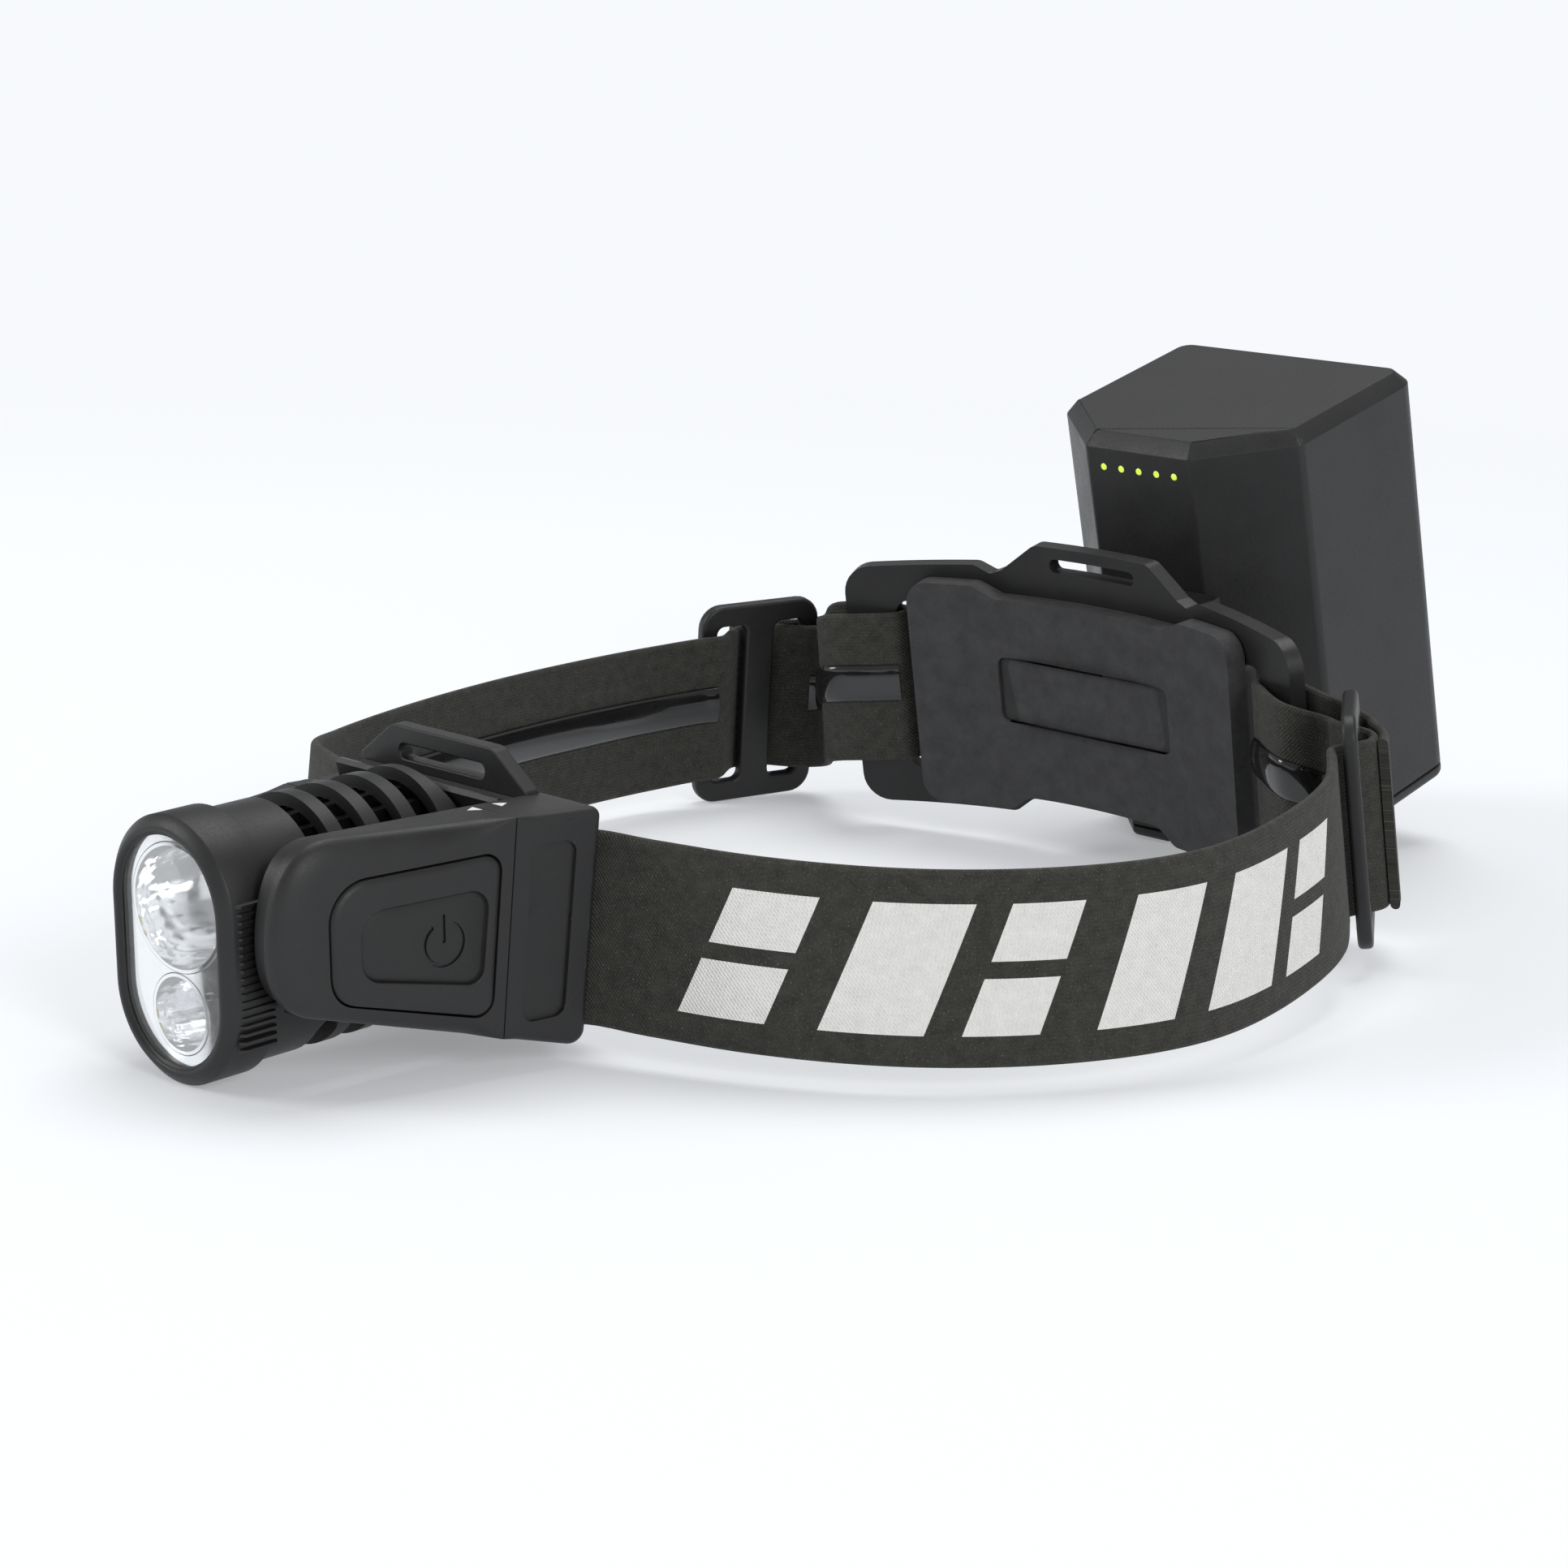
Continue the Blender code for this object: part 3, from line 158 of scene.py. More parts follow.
def rounded_outline(corners, steps=8):
    """A polygon whose corners are arcs: corners holds (u, v, radius), listed counter-clockwise.

    Each arc touches both of its sides, a distance of radius over tan(half the corner's angle) away.
    """
    corners = np.asarray(corners, float)
    here, radius = corners[:, :2], corners[:, 2]
    back = np.roll(here, 1, 0) - here
    ahead = np.roll(here, -1, 0) - here
    back /= np.linalg.norm(back, axis=1)[:, None]
    ahead /= np.linalg.norm(ahead, axis=1)[:, None]
    half = np.arccos(np.clip((back * ahead).sum(1), -1, 1)) / 2
    bisector = back + ahead
    bisector /= np.linalg.norm(bisector, axis=1)[:, None]
    centre = here + bisector * (radius / np.sin(half))[:, None]
    start = here + back * (radius / np.tan(half))[:, None] - centre
    stop = here + ahead * (radius / np.tan(half))[:, None] - centre
    first = np.arctan2(start[:, 1], start[:, 0])
    swing = (np.arctan2(stop[:, 1], stop[:, 0]) - first + math.pi) % math.tau - math.pi
    angle = first[:, None] + swing[:, None] * np.linspace(0, 1, steps)[None, :]
    points = centre[:, None] + radius[:, None, None] * np.stack([np.cos(angle), np.sin(angle)], -1)
    return points.reshape(-1, 2)


def rectangle(half_u, half_v, radius, centre=(0.0, 0.0), steps=8):
    u, v = centre
    return rounded_outline([(u + half_u, v + half_v, radius), (u - half_u, v + half_v, radius),
                            (u - half_u, v - half_v, radius), (u + half_u, v - half_v, radius)], steps)


def inset(outline, distance):
    """Move every point of a counter-clockwise outline inwards along its own normal."""
    outline = np.asarray(outline, float)
    along = np.roll(outline, -1, 0) - np.roll(outline, 1, 0)
    along /= np.linalg.norm(along, axis=1)[:, None]
    return outline + np.reshape(distance, (-1, 1)) * np.stack([-along[:, 1], along[:, 0]], -1)


def across(axis, outline, level):
    """Put a flat outline into space: level is the coordinate along the named axis, a number or an array."""
    outline = np.asarray(outline, float)
    level = np.broadcast_to(np.asarray(level, float), (len(outline),))
    return np.insert(outline, "xyz".index(axis), level, axis=1)


def push(axis, outline, low, high):
    return np.stack([across(axis, outline, low), across(axis, outline, high)])


# %% [markdown]
# ## Cutting and rounding
# Slots and windows are easiest as cuts. A cutter is a loft too; after the cut it is thrown away, so only
# finished meshes stay. A bevel then breaks the sharp edges, which is what makes moulded plastic look
# real: each edge catches a thin line of light.

# %% Cut, clip and round
def carve(piece, cutters, operation="DIFFERENCE"):
    """Apply one exact Boolean per cutter and delete the cutters."""
    for cutter in cutters:
        change = piece.modifiers.new("carve", "BOOLEAN")
        change.operation = operation
        change.solver = "EXACT"
        change.object = cutter
        graph = bpy.context.evaluated_depsgraph_get()
        mesh = bpy.data.meshes.new_from_object(piece.evaluated_get(graph))
        piece.modifiers.clear()
        piece.data = mesh
        bpy.data.objects.remove(cutter, do_unlink=True)
    piece.data.shade_smooth()
    piece.data.set_sharp_from_angle(angle=math.radians(40))
    return piece


def round_edges(piece, width, segments=3, angle=35.0):
    """A bevel in millimetres on edges sharper than the angle, with normals that keep flats flat."""
    bevel = piece.modifiers.new("edges", "BEVEL")
    bevel.width = width * MM
    bevel.segments = segments
    bevel.limit_method = "ANGLE"
    bevel.angle_limit = math.radians(angle)
    bevel.miter_outer = "MITER_ARC"
    bevel.harden_normals = False
    piece.data.shade_smooth()
    piece.data.set_sharp_from_angle(angle=math.radians(180))
    normal = piece.modifiers.new("normals", "WEIGHTED_NORMAL")
    normal.keep_sharp = True
    normal.weight = 80
    return piece


def solid(name, axis, outline, low, high, to_scene=place):
    """A plain extruded body, used as stock or as a cutter."""
    return loft(name, push(axis, outline, low, high), to_scene=to_scene)


# %% [markdown]
# ## Shared effects
# Three node groups feed most materials. "mould_grain" is the fine spark-eroded texture of injection
# moulded plastic, with slow changes of gloss where hands have touched it. "mottle" is the cloudy
# leathery surface of moulded foam. "twill" draws the diagonal ribs of an elastic strap, and painted
# glints in its colour that stand in for light catching the threads, from the piece's own UV map, whose
# units are metres along and across the strap.

# %% Node helpers
def group(name, inputs, outputs):
    made = bpy.data.node_groups.new(name, "ShaderNodeTree")
    for label, default in inputs:
        kind = "NodeSocketVector" if default is None else "NodeSocketFloat"
        socket = made.interface.new_socket(label, in_out="INPUT", socket_type=kind)
        if default is not None:
            socket.default_value = default
    for label, kind in outputs:
        made.interface.new_socket(label, in_out="OUTPUT", socket_type=kind)
    return made, made.nodes.new("NodeGroupInput"), made.nodes.new("NodeGroupOutput")


def math_node(tree, operation, first, second=None):
    node = tree.nodes.new("ShaderNodeMath")
    node.operation = operation
    for slot, value in enumerate((first, second)):
        if value is None:
            continue
        if isinstance(value, (int, float)):
            node.inputs[slot].default_value = value
        else:
            tree.links.new(value, node.inputs[slot])
    return node.outputs[0]


def noise(tree, vector, scale, detail=2.0, roughness=0.5):
    node = tree.nodes.new("ShaderNodeTexNoise")
    node.inputs["Detail"].default_value = detail
    node.inputs["Roughness"].default_value = roughness
    if isinstance(scale, (int, float)):
        node.inputs["Scale"].default_value = scale
    else:
        tree.links.new(scale, node.inputs["Scale"])
    tree.links.new(vector, node.inputs["Vector"])
    return node.outputs["Fac"]


def ranged(tree, value, low, high, to_low=0.0, to_high=1.0, smooth=False):
    node = tree.nodes.new("ShaderNodeMapRange")
    node.interpolation_type = "SMOOTHSTEP" if smooth else "LINEAR"
    node.inputs["From Min"].default_value = low
    node.inputs["From Max"].default_value = high
    node.inputs["To Min"].default_value = to_low
    node.inputs["To Max"].default_value = to_high
    tree.links.new(value, node.inputs["Value"])
    return node.outputs["Result"]


# %% Mould grain, mottle and twill
def make_mould_grain():
    tree, start, end = group("mould_grain", [("Vector", None), ("Scale", 2600.0), ("Polish", 0.5)],
                             [("Height", "NodeSocketFloat"), ("Roughness", "NodeSocketFloat"),
                              ("Shade", "NodeSocketFloat")])
    fine = noise(tree, start.outputs["Vector"], start.outputs["Scale"], 2.0)
    handled = noise(tree, start.outputs["Vector"], 55.0, 4.0, 0.6)
    spread = ranged(tree, handled, 0.3, 0.7, -0.06, 0.08)
    sparkle = ranged(tree, fine, 0.3, 0.7, -0.04, 0.04)
    tree.links.new(fine, end.inputs["Height"])
    level = math_node(tree, "ADD", start.outputs["Polish"], math_node(tree, "ADD", spread, sparkle))
    tree.links.new(level, end.inputs["Roughness"])
    tree.links.new(ranged(tree, handled, 0.25, 0.75, 0.0, 1.0), end.inputs["Shade"])
    return tree


def make_mottle():
    tree, start, end = group("mottle", [("Vector", None), ("Scale", 900.0)],
                             [("Height", "NodeSocketFloat"), ("Shade", "NodeSocketFloat")])
    cells = tree.nodes.new("ShaderNodeTexVoronoi")
    cells.feature = "SMOOTH_F1"
    tree.links.new(start.outputs["Vector"], cells.inputs["Vector"])
    tree.links.new(start.outputs["Scale"], cells.inputs["Scale"])
    cloud = noise(tree, start.outputs["Vector"], 260.0, 5.0, 0.65)
    speck = noise(tree, start.outputs["Vector"], 2200.0, 1.0)
    height = math_node(tree, "ADD", math_node(tree, "MULTIPLY", cells.outputs["Distance"], 0.5),
                       math_node(tree, "ADD", cloud, math_node(tree, "MULTIPLY", speck, 0.4)))
    tree.links.new(height, end.inputs["Height"])
    tree.links.new(ranged(tree, cloud, 0.3, 0.7), end.inputs["Shade"])
    return tree


def make_twill():
    tree, start, end = group("twill", [("Vector", None), ("Pitch", 0.00062)],
                             [("Height", "NodeSocketFloat"), ("Shade", "NodeSocketFloat"),
                              ("PaintedGlint", "NodeSocketFloat")])
    apart = tree.nodes.new("ShaderNodeSeparateXYZ")
    tree.links.new(start.outputs["Vector"], apart.inputs[0])
    along, wide = apart.outputs["X"], apart.outputs["Y"]
    turns = math_node(tree, "DIVIDE", math.tau, start.outputs["Pitch"])
    rib = math_node(tree, "SINE", math_node(tree, "MULTIPLY", wide, turns))
    lean = math_node(tree, "ADD", along, math_node(tree, "MULTIPLY", wide, 0.8))
    diagonal = math_node(tree, "SINE", math_node(tree, "MULTIPLY", lean, turns))
    yarn = noise(tree, start.outputs["Vector"], 2300.0, 3.0, 0.7)
    height = math_node(tree, "ADD", math_node(tree, "MULTIPLY", rib, 0.35),
                       math_node(tree, "ADD", math_node(tree, "MULTIPLY", diagonal, 0.5), yarn))
    tree.links.new(height, end.inputs["Height"])
    patch = noise(tree, start.outputs["Vector"], 420.0, 3.0, 0.6)
    tree.links.new(ranged(tree, math_node(tree, "ADD", yarn, patch), 0.7, 1.3), end.inputs["Shade"])
    # Painted glints: a sparse mask of specks that woven() mixes into the colour as pale points, standing in for light
    # catching the threads.
    spark = noise(tree, start.outputs["Vector"], 3100.0, 1.0)
    tree.links.new(ranged(tree, spark, 0.66, 0.74, 0.0, 1.0, True), end.inputs["PaintedGlint"])
    return tree


GRAIN, MOTTLE, TWILL = make_mould_grain(), make_mottle(), make_twill()
# %% [markdown]
# ## Paint
# Every finish is one function that wires a Principled shader. Colours are never flat: a slow noise mixes
# two close shades, and the grain group supplies roughness and relief.

# %% Materials
def new_material(name):
    made = bpy.data.materials.new(name)
    made.use_nodes = True
    tree = made.node_tree
    return made, tree, tree.nodes["Principled BSDF"]


def object_coordinates(tree):
    return tree.nodes.new("ShaderNodeTexCoord").outputs["Object"]


def uv_coordinates(tree):
    node = tree.nodes.new("ShaderNodeUVMap")
    node.uv_map = "surface"
    return node.outputs["UV"]


def use_group(tree, kind, vector, **values):
    node = tree.nodes.new("ShaderNodeGroup")
    node.node_tree = kind
    tree.links.new(vector, node.inputs["Vector"])
    for label, value in values.items():
        node.inputs[label].default_value = value
    return node.outputs


def mix_colour(tree, factor, low, high):
    node = tree.nodes.new("ShaderNodeMix")
    node.data_type = "RGBA"
    tree.links.new(factor, node.inputs[0])
    for slot, value in ((6, low), (7, high)):
        if isinstance(value, tuple):
            node.inputs[slot].default_value = (*value, 1.0)
        else:
            tree.links.new(value, node.inputs[slot])
    return node.outputs[2]


def relief(tree, shader, height, distance, strength):
    bump = tree.nodes.new("ShaderNodeBump")
    bump.inputs["Distance"].default_value = distance * MM
    bump.inputs["Strength"].default_value = strength
    tree.links.new(height, bump.inputs["Height"])
    tree.links.new(bump.outputs["Normal"], shader.inputs["Normal"])


def moulded(name, dark, light, polish, strength=0.35, scale=2600.0, metallic=0.0, coat=0.0, specular=0.4,
            glow=0.0):
    """Moulded or brushed solid: two close shades, grain relief and uneven gloss. A glow above zero is painted light:
    emission in the light shade, though the piece is no lamp.
    """
    made, tree, shader = new_material(name)
    grain = use_group(tree, GRAIN, object_coordinates(tree), Scale=scale, Polish=polish)
    tree.links.new(mix_colour(tree, grain["Shade"], dark, light), shader.inputs["Base Color"])
    tree.links.new(grain["Roughness"], shader.inputs["Roughness"])
    shader.inputs["Metallic"].default_value = metallic
    shader.inputs["Coat Weight"].default_value = coat
    shader.inputs["Specular IOR Level"].default_value = specular
    # Painted light: with a glow above zero the surface gives off light of its light shade, though it is no lamp.
    shader.inputs["Emission Color"].default_value = (*light, 1.0)
    shader.inputs["Emission Strength"].default_value = glow
    relief(tree, shader, grain["Height"], 0.04, strength)
    return made


def foam(name, dark, light, scale, strength, roughness):
    made, tree, shader = new_material(name)
    cloud = use_group(tree, MOTTLE, object_coordinates(tree), Scale=scale)
    tree.links.new(mix_colour(tree, cloud["Shade"], dark, light), shader.inputs["Base Color"])
    tree.links.new(ranged(tree, cloud["Height"], 0.4, 1.3, roughness - 0.08, roughness + 0.08),
                   shader.inputs["Roughness"])
    shader.inputs["Specular IOR Level"].default_value = 0.3
    relief(tree, shader, cloud["Height"], 0.25, strength)
    return made


def woven(name, printed):
    """Elastic webbing; with printed, slanted bars of pale reflective ink are laid over the weave."""
    made, tree, shader = new_material(name)
    vector = uv_coordinates(tree)
    weave = use_group(tree, TWILL, vector)
    cloth = mix_colour(tree, weave["Shade"], (0.022, 0.022, 0.018), (0.050, 0.049, 0.042))
    # Painted glints: where the specks mask is high the cloth colour turns pale, highlights painted into the colour.
    painted_glint = math_node(tree, "MULTIPLY", weave["PaintedGlint"], 0.35)
    colour = mix_colour(tree, painted_glint, cloth, (0.26, 0.25, 0.22))
    tree.links.new(colour, shader.inputs["Base Color"])
    shader.inputs["Roughness"].default_value = 0.82
    shader.inputs["Sheen Weight"].default_value = 0.06
    shader.inputs["Specular IOR Level"].default_value = 0.25
    relief(tree, shader, weave["Height"], 0.16, 0.8)
    if printed:
        ink, rough = printed_bars(tree, vector)
        worn = noise(tree, vector, 700.0, 4.0, 0.7)
        ink = math_node(tree, "MULTIPLY", ink, ranged(tree, worn, 0.22, 0.34, 0.55, 1.0, True))
        pale = mix_colour(tree, weave["Shade"], (0.72, 0.705, 0.675), (0.84, 0.825, 0.80))
        tree.links.new(mix_colour(tree, ink, colour, pale), shader.inputs["Base Color"])
        tree.links.new(ranged(tree, ink, 0.0, 1.0, 0.82, rough), shader.inputs["Roughness"])
    return made


BAR_PITCH = 0.0215  # metres along the strap from one printed bar to the next
BAR_SLANT = 0.42  # how far a bar leans along the strap for each metre across it
BAR_LOW, BAR_HIGH = 0.0050, 0.0250  # the printed zone across the strap
PRINT_START, PRINT_STOP = 0.0155, 0.146  # the printed zone along the strap


def printed_bars(tree, vector):
    """A mask of slanted bars that alternate wide and narrow, some of them cut by a thin gap at half height."""
    apart = tree.nodes.new("ShaderNodeSeparateXYZ")
    tree.links.new(vector, apart.inputs[0])
    along, wide = apart.outputs["X"], apart.outputs["Y"]
    lean = math_node(tree, "ADD", along, math_node(tree, "MULTIPLY", wide, -BAR_SLANT))
    cell = math_node(tree, "DIVIDE", lean, BAR_PITCH)
    phase = math_node(tree, "FRACT", cell)
    turn = math_node(tree, "FRACT", math_node(tree, "MULTIPLY", math_node(tree, "FLOOR", cell), 0.381966))
    edge = ranged(tree, turn, 0.0, 1.0, 0.52, 0.80)
    bar = math_node(tree, "LESS_THAN", phase, edge)
    slit = math_node(tree, "GREATER_THAN", math_node(tree, "ABSOLUTE", math_node(
        tree, "SUBTRACT", wide, 0.0150)), 0.0013)
    half = math_node(tree, "GREATER_THAN", turn, 0.45)
    bar = math_node(tree, "MULTIPLY", bar, math_node(tree, "MAXIMUM", slit, half))
    for value, low, high in ((wide, BAR_LOW, BAR_HIGH), (lean, PRINT_START, PRINT_STOP)):
        bar = math_node(tree, "MULTIPLY", bar, math_node(tree, "GREATER_THAN", value, low))
        bar = math_node(tree, "MULTIPLY", bar, math_node(tree, "LESS_THAN", value, high))
    return bar, 0.5


def glass(name, tint, roughness, dusty):
    """Clear plastic with a trace of dust that scatters light in its own slow pattern."""
    made, tree, shader = new_material(name)
    haze = noise(tree, object_coordinates(tree), 240.0, 4.0, 0.6)
    tree.links.new(ranged(tree, haze, 0.45, 0.75, roughness, roughness + dusty), shader.inputs["Roughness"])
    tree.links.new(mix_colour(tree, haze, tint, tuple(min(1.0, t + 0.02) for t in tint)),
                   shader.inputs["Base Color"])
    shader.inputs["Transmission Weight"].default_value = 1.0
    shader.inputs["IOR"].default_value = 1.49
    return made


def glowing(name, dark, light, emission, strength, roughness=0.3):
    made, tree, shader = new_material(name)
    cells = noise(tree, object_coordinates(tree), 1500.0, 2.0)
    colour = mix_colour(tree, ranged(tree, cells, 0.3, 0.7), dark, light)
    tree.links.new(colour, shader.inputs["Base Color"])
    shader.inputs["Roughness"].default_value = roughness
    shader.inputs["Emission Color"].default_value = (*emission, 1.0)
    shader.inputs["Emission Strength"].default_value = strength
    return made


PAINT = {
    "shell": moulded("shell_plastic", (0.010, 0.010, 0.010), (0.016, 0.016, 0.0165), 0.46),
    "pack": moulded("pack_plastic", (0.012, 0.012, 0.012), (0.018, 0.018, 0.0185), 0.44, 0.5, 1700.0),
    "soft": moulded("soft_plastic", (0.009, 0.009, 0.009), (0.014, 0.014, 0.014), 0.52, 0.25),
    "trim": moulded("polished_plastic", (0.004, 0.004, 0.004), (0.008, 0.008, 0.008), 0.34, 0.15),
    "mark": moulded("mark_ink", (0.66, 0.66, 0.66), (0.78, 0.78, 0.78), 0.55, 0.1),
    "metal": moulded("anodised_metal", (0.05, 0.05, 0.055), (0.09, 0.09, 0.095), 0.36, 0.3, 1800.0, 1.0),
    "steel": moulded("steel", (0.45, 0.45, 0.46), (0.60, 0.60, 0.61), 0.26, 0.15, 1800.0, 1.0),
    "gold": moulded("gold_contact", (0.72, 0.50, 0.20), (0.85, 0.64, 0.30), 0.24, 0.1, 1800.0, 1.0),
    # Painted light: the reflector's finish glows with emission 0.07 in its light shade, on top of its real mirror
    # reflections.
    "mirror": moulded("reflector_with_painted_glow", (0.86, 0.87, 0.88), (0.93, 0.93, 0.94), 0.12, 0.05, 900.0, 1.0, 0.0, 0.5,
                      0.07),
    "rubber": moulded("rubber", (0.018, 0.018, 0.018), (0.030, 0.030, 0.030), 0.66, 0.4),
    "board": moulded("board", (0.34, 0.36, 0.35), (0.46, 0.48, 0.46), 0.50, 0.2, 1200.0),
    "cell": moulded("cell_wrap", (0.03, 0.14, 0.26), (0.06, 0.20, 0.34), 0.36, 0.1, 1200.0),
    "pad": foam("pad_foam", (0.030, 0.030, 0.031), (0.050, 0.050, 0.051), 1500.0, 0.5, 0.74),
    "window": foam("pad_window", (0.016, 0.016, 0.0165), (0.028, 0.028, 0.0285), 1900.0, 0.4, 0.62),
    "webbing": woven("elastic_webbing", False),
    "print": woven("printed_webbing", True),
    "strip": moulded("silicone_strip", (0.006, 0.006, 0.006), (0.012, 0.012, 0.012), 0.16, 0.1, 900.0,
                     0.0, 0.6),
    "lens": glass("clear_lens", (0.97, 0.98, 0.98), 0.01, 0.05),
    "led": glowing("led_phosphor", (0.80, 0.62, 0.12), (0.90, 0.78, 0.30), (1.0, 0.85, 0.45), 0.15),
    "indicator": glowing("indicator_glow", (0.50, 0.62, 0.05), (0.62, 0.74, 0.10), (0.62, 0.80, 0.10), 0.55),
}
print("materials:", len(PAINT))

# %% [markdown]
# ## What stays as it is
# Inner pieces, such as the cells, the boards and the dock's screws, keep their CAD shape. They still get a
# procedural finish, chosen here by the start of their name. A longer start wins over a shorter one.

# %% Paint the CAD nodes
FINISH = {"battery_": "pack", "bezel": "shell", "cap_screw": "steel", "cell_": "cell", "charge_port": "steel",
          "dock_pin": "gold", "dock_screw": "steel", "heatsink": "metal", "indicator_": "indicator",
          "indicator_board": "board", "led_": "led", "led_board": "board", "lens": "lens",
          "lens_seal": "rubber", "pack_board": "board", "pack_contact": "gold", "pivot_pin": "steel",
          "friction_washer": "rubber", "port_cover": "rubber", "reflector_": "mirror",
          "switch_board": "board", "switch_dome": "steel", "strap_": "webbing", "grip_strip": "strip",
          "forehead_pad": "pad", "rear_pad": "pad"}
for node_name, node_object in frame["nodes"].items():
    fitting = [start for start in FINISH if node_name.startswith(start)]
    finish = PAINT[FINISH[max(fitting, key=len)] if fitting else "shell"]
    if not node_object.material_slots:
        node_object.data.materials.append(finish)
    for material_slot in node_object.material_slots:
        material_slot.material = finish

BRACKET, LAMP, BUTTON, PACK = "bracket_and_strap", "lamp_head", "button", "battery_pack"
COVER = "charge_port_cover"

# %% [markdown]
# ## The lamp head's outline
# The head is a stadium: two half rounds and two straight sides. `stadium(k)` gives it drawn in by k, and
# the same outline makes the bezel, the lens and the vent sleeve, so they always line up.

# %% Bezel with side ribs
HEAD_HALF_WIDTH, HEAD_HALF_HEIGHT, HEAD_Z = 14.0, 20.4, 29.9
BEZEL_FRONT, BEZEL_BACK = -141.0, -132.2
TAIL_RADIUS = 35.0


def stadium(k, steps=40):
    """Half rounds of radius 14 - k about z = 29.9 +- 6.4, counter-clockwise in (x, z)."""
    straight = HEAD_HALF_HEIGHT - HEAD_HALF_WIDTH
    radius = HEAD_HALF_WIDTH - k
    side = np.linspace(-1, 1, 14)[1:-1]
    left = np.stack([np.full(12, -radius), HEAD_Z - side * straight], -1)
    right = np.stack([np.full(12, radius), HEAD_Z + side * straight], -1)
    return np.concatenate([arc((0, HEAD_Z + straight), radius, 0, 180, steps), left,
                           arc((0, HEAD_Z - straight), radius, 180, 360, steps), right])


def stadium_loop(name, profile, body, material, sharp=40.0):
    """A ring whose cross-section is the profile of (inset, y) pairs, swept round the stadium."""
    rings = np.stack([across("y", stadium(k), y) for k, y in profile])
    return loft(name, rings, body, material, loop=True, sharp=sharp)


bezel_profile = [(0.0, BEZEL_BACK), (0.0, -139.45), (0.12, -139.7), (1.5, -140.9), (1.8, -141.0),
                 (2.15, -141.0), (2.4, -140.9), (2.55, -140.7), (2.7, -140.5), (3.0, -140.35),
                 (3.0, -140.15), (1.8, -140.12), (1.8, BEZEL_BACK)]
bezel = stadium_loop("bezel_rim", bezel_profile, LAMP, PAINT["shell"])
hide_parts("bezel")


def rib_rings(sign, z):
    """A rib along Y on the bezel's side: a flat bar whose ends run out into the side."""
    y = np.array([BEZEL_FRONT + 1.9, BEZEL_FRONT + 2.6, BEZEL_BACK - 0.7, BEZEL_BACK - 0.1])
    rise = np.array([-0.3, 0.4, 0.4, -0.3])
    ring = np.array([[0.0, -0.38], [0.0, 0.38], [1.0, 0.22], [1.0, -0.22]])
    out = HEAD_HALF_WIDTH - 0.6 + ring[None, :, 0] * (0.6 + rise[:, None])
    level = z + ring[None, :, 1] + 0 * out
    return np.stack([sign * out, y[:, None] + 0 * out, level], -1)


RIB_LOW, RIB_HIGH, RIB_COUNT = 17.4, 39.0, 19
for sign, side in ((1, "near"), (-1, "far")):
    for number, z in enumerate(np.linspace(RIB_LOW, RIB_HIGH, RIB_COUNT)):
        rib = loft(f"bezel_rib_{side}_{number + 1}", rib_rings(sign, z), LAMP, PAINT["shell"])
print("bezel ring and", 2 * RIB_COUNT, "ribs")

# %% [markdown]
# ## Glass and optics
# Behind the clear lens two bright bowls face forward. Each bowl is a surface of revolution whose radius
# carries small facets, so it breaks reflections into petals as a real vacuum-coated reflector does. A
# flat bright plate, cut round both bowls, closes the space between them. Bowls and plate also carry a
# faint painted glow: their finish gives off light of its own, though a reflector is no lamp.

# %% Lens, bowls and their plate
lens = loft("lens_window", [across("y", stadium(2.1), -139.2), across("y", stadium(2.1), -139.95),
                            across("y", stadium(2.35), -140.1)], LAMP, PAINT["lens"])
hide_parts("lens")

RIM_Y, BOWL_DEPTH, THROAT = -138.7, 12.5, 2.4


def bowl(name, radius, z, facets):
    """r(t, a) = R - (R - throat) t^2, with t from 0 at the rim to 1 at the throat.

    Each facet, a step of t and a slice of the angle a, dips by up to a tenth of a millimetre.
    """
    t = np.linspace(0.0, 1.0, 37)
    a = np.linspace(0.0, math.tau, 144, endpoint=False)
    dip = 0.10 * np.abs(np.sin(a * facets / 2))[None, :] * np.abs(np.sin(t * math.pi * 6))[:, None]
    inside = (radius - 0.5 - (radius - 0.5 - THROAT) * t[:, None] ** 2) + dip
    y_inside = RIM_Y + BOWL_DEPTH * t
    outside = np.array([THROAT + 1.4, radius * 0.98, radius])[:, None] + 0 * a[None, :]
    y_outside = np.array([RIM_Y + BOWL_DEPTH, RIM_Y + 2.6, RIM_Y])
    r = np.concatenate([inside, outside])
    y = np.concatenate([y_inside, y_outside])[:, None] + 0 * r
    rings = np.stack([r * np.cos(a), y, z + r * np.sin(a)], -1)
    return loft(name, rings, LAMP, PAINT["mirror"], loop=True, sharp=60.0)


FLOOD_Z, SPOT_Z = HEAD_Z + 6.15, HEAD_Z - 9.75
flood_bowl = bowl("flood_bowl", 9.6, FLOOD_Z, 24)
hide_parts("reflector_flood")
spot_bowl = bowl("spot_bowl", 6.0, SPOT_Z, 16)
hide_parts("reflector_spot")
plate = loft("optic_plate", [across("y", stadium(2.2), RIM_Y + 0.1), across("y", stadium(2.2), RIM_Y + 0.7)],
             LAMP, PAINT["mirror"])
carve(plate, [solid("cut", "y", arc((0, z), r + 0.15, 0, 360, 73)[:-1], RIM_Y - 3, RIM_Y + 3)
              for z, r in ((FLOOD_Z, 9.6), (SPOT_Z, 6.0))])


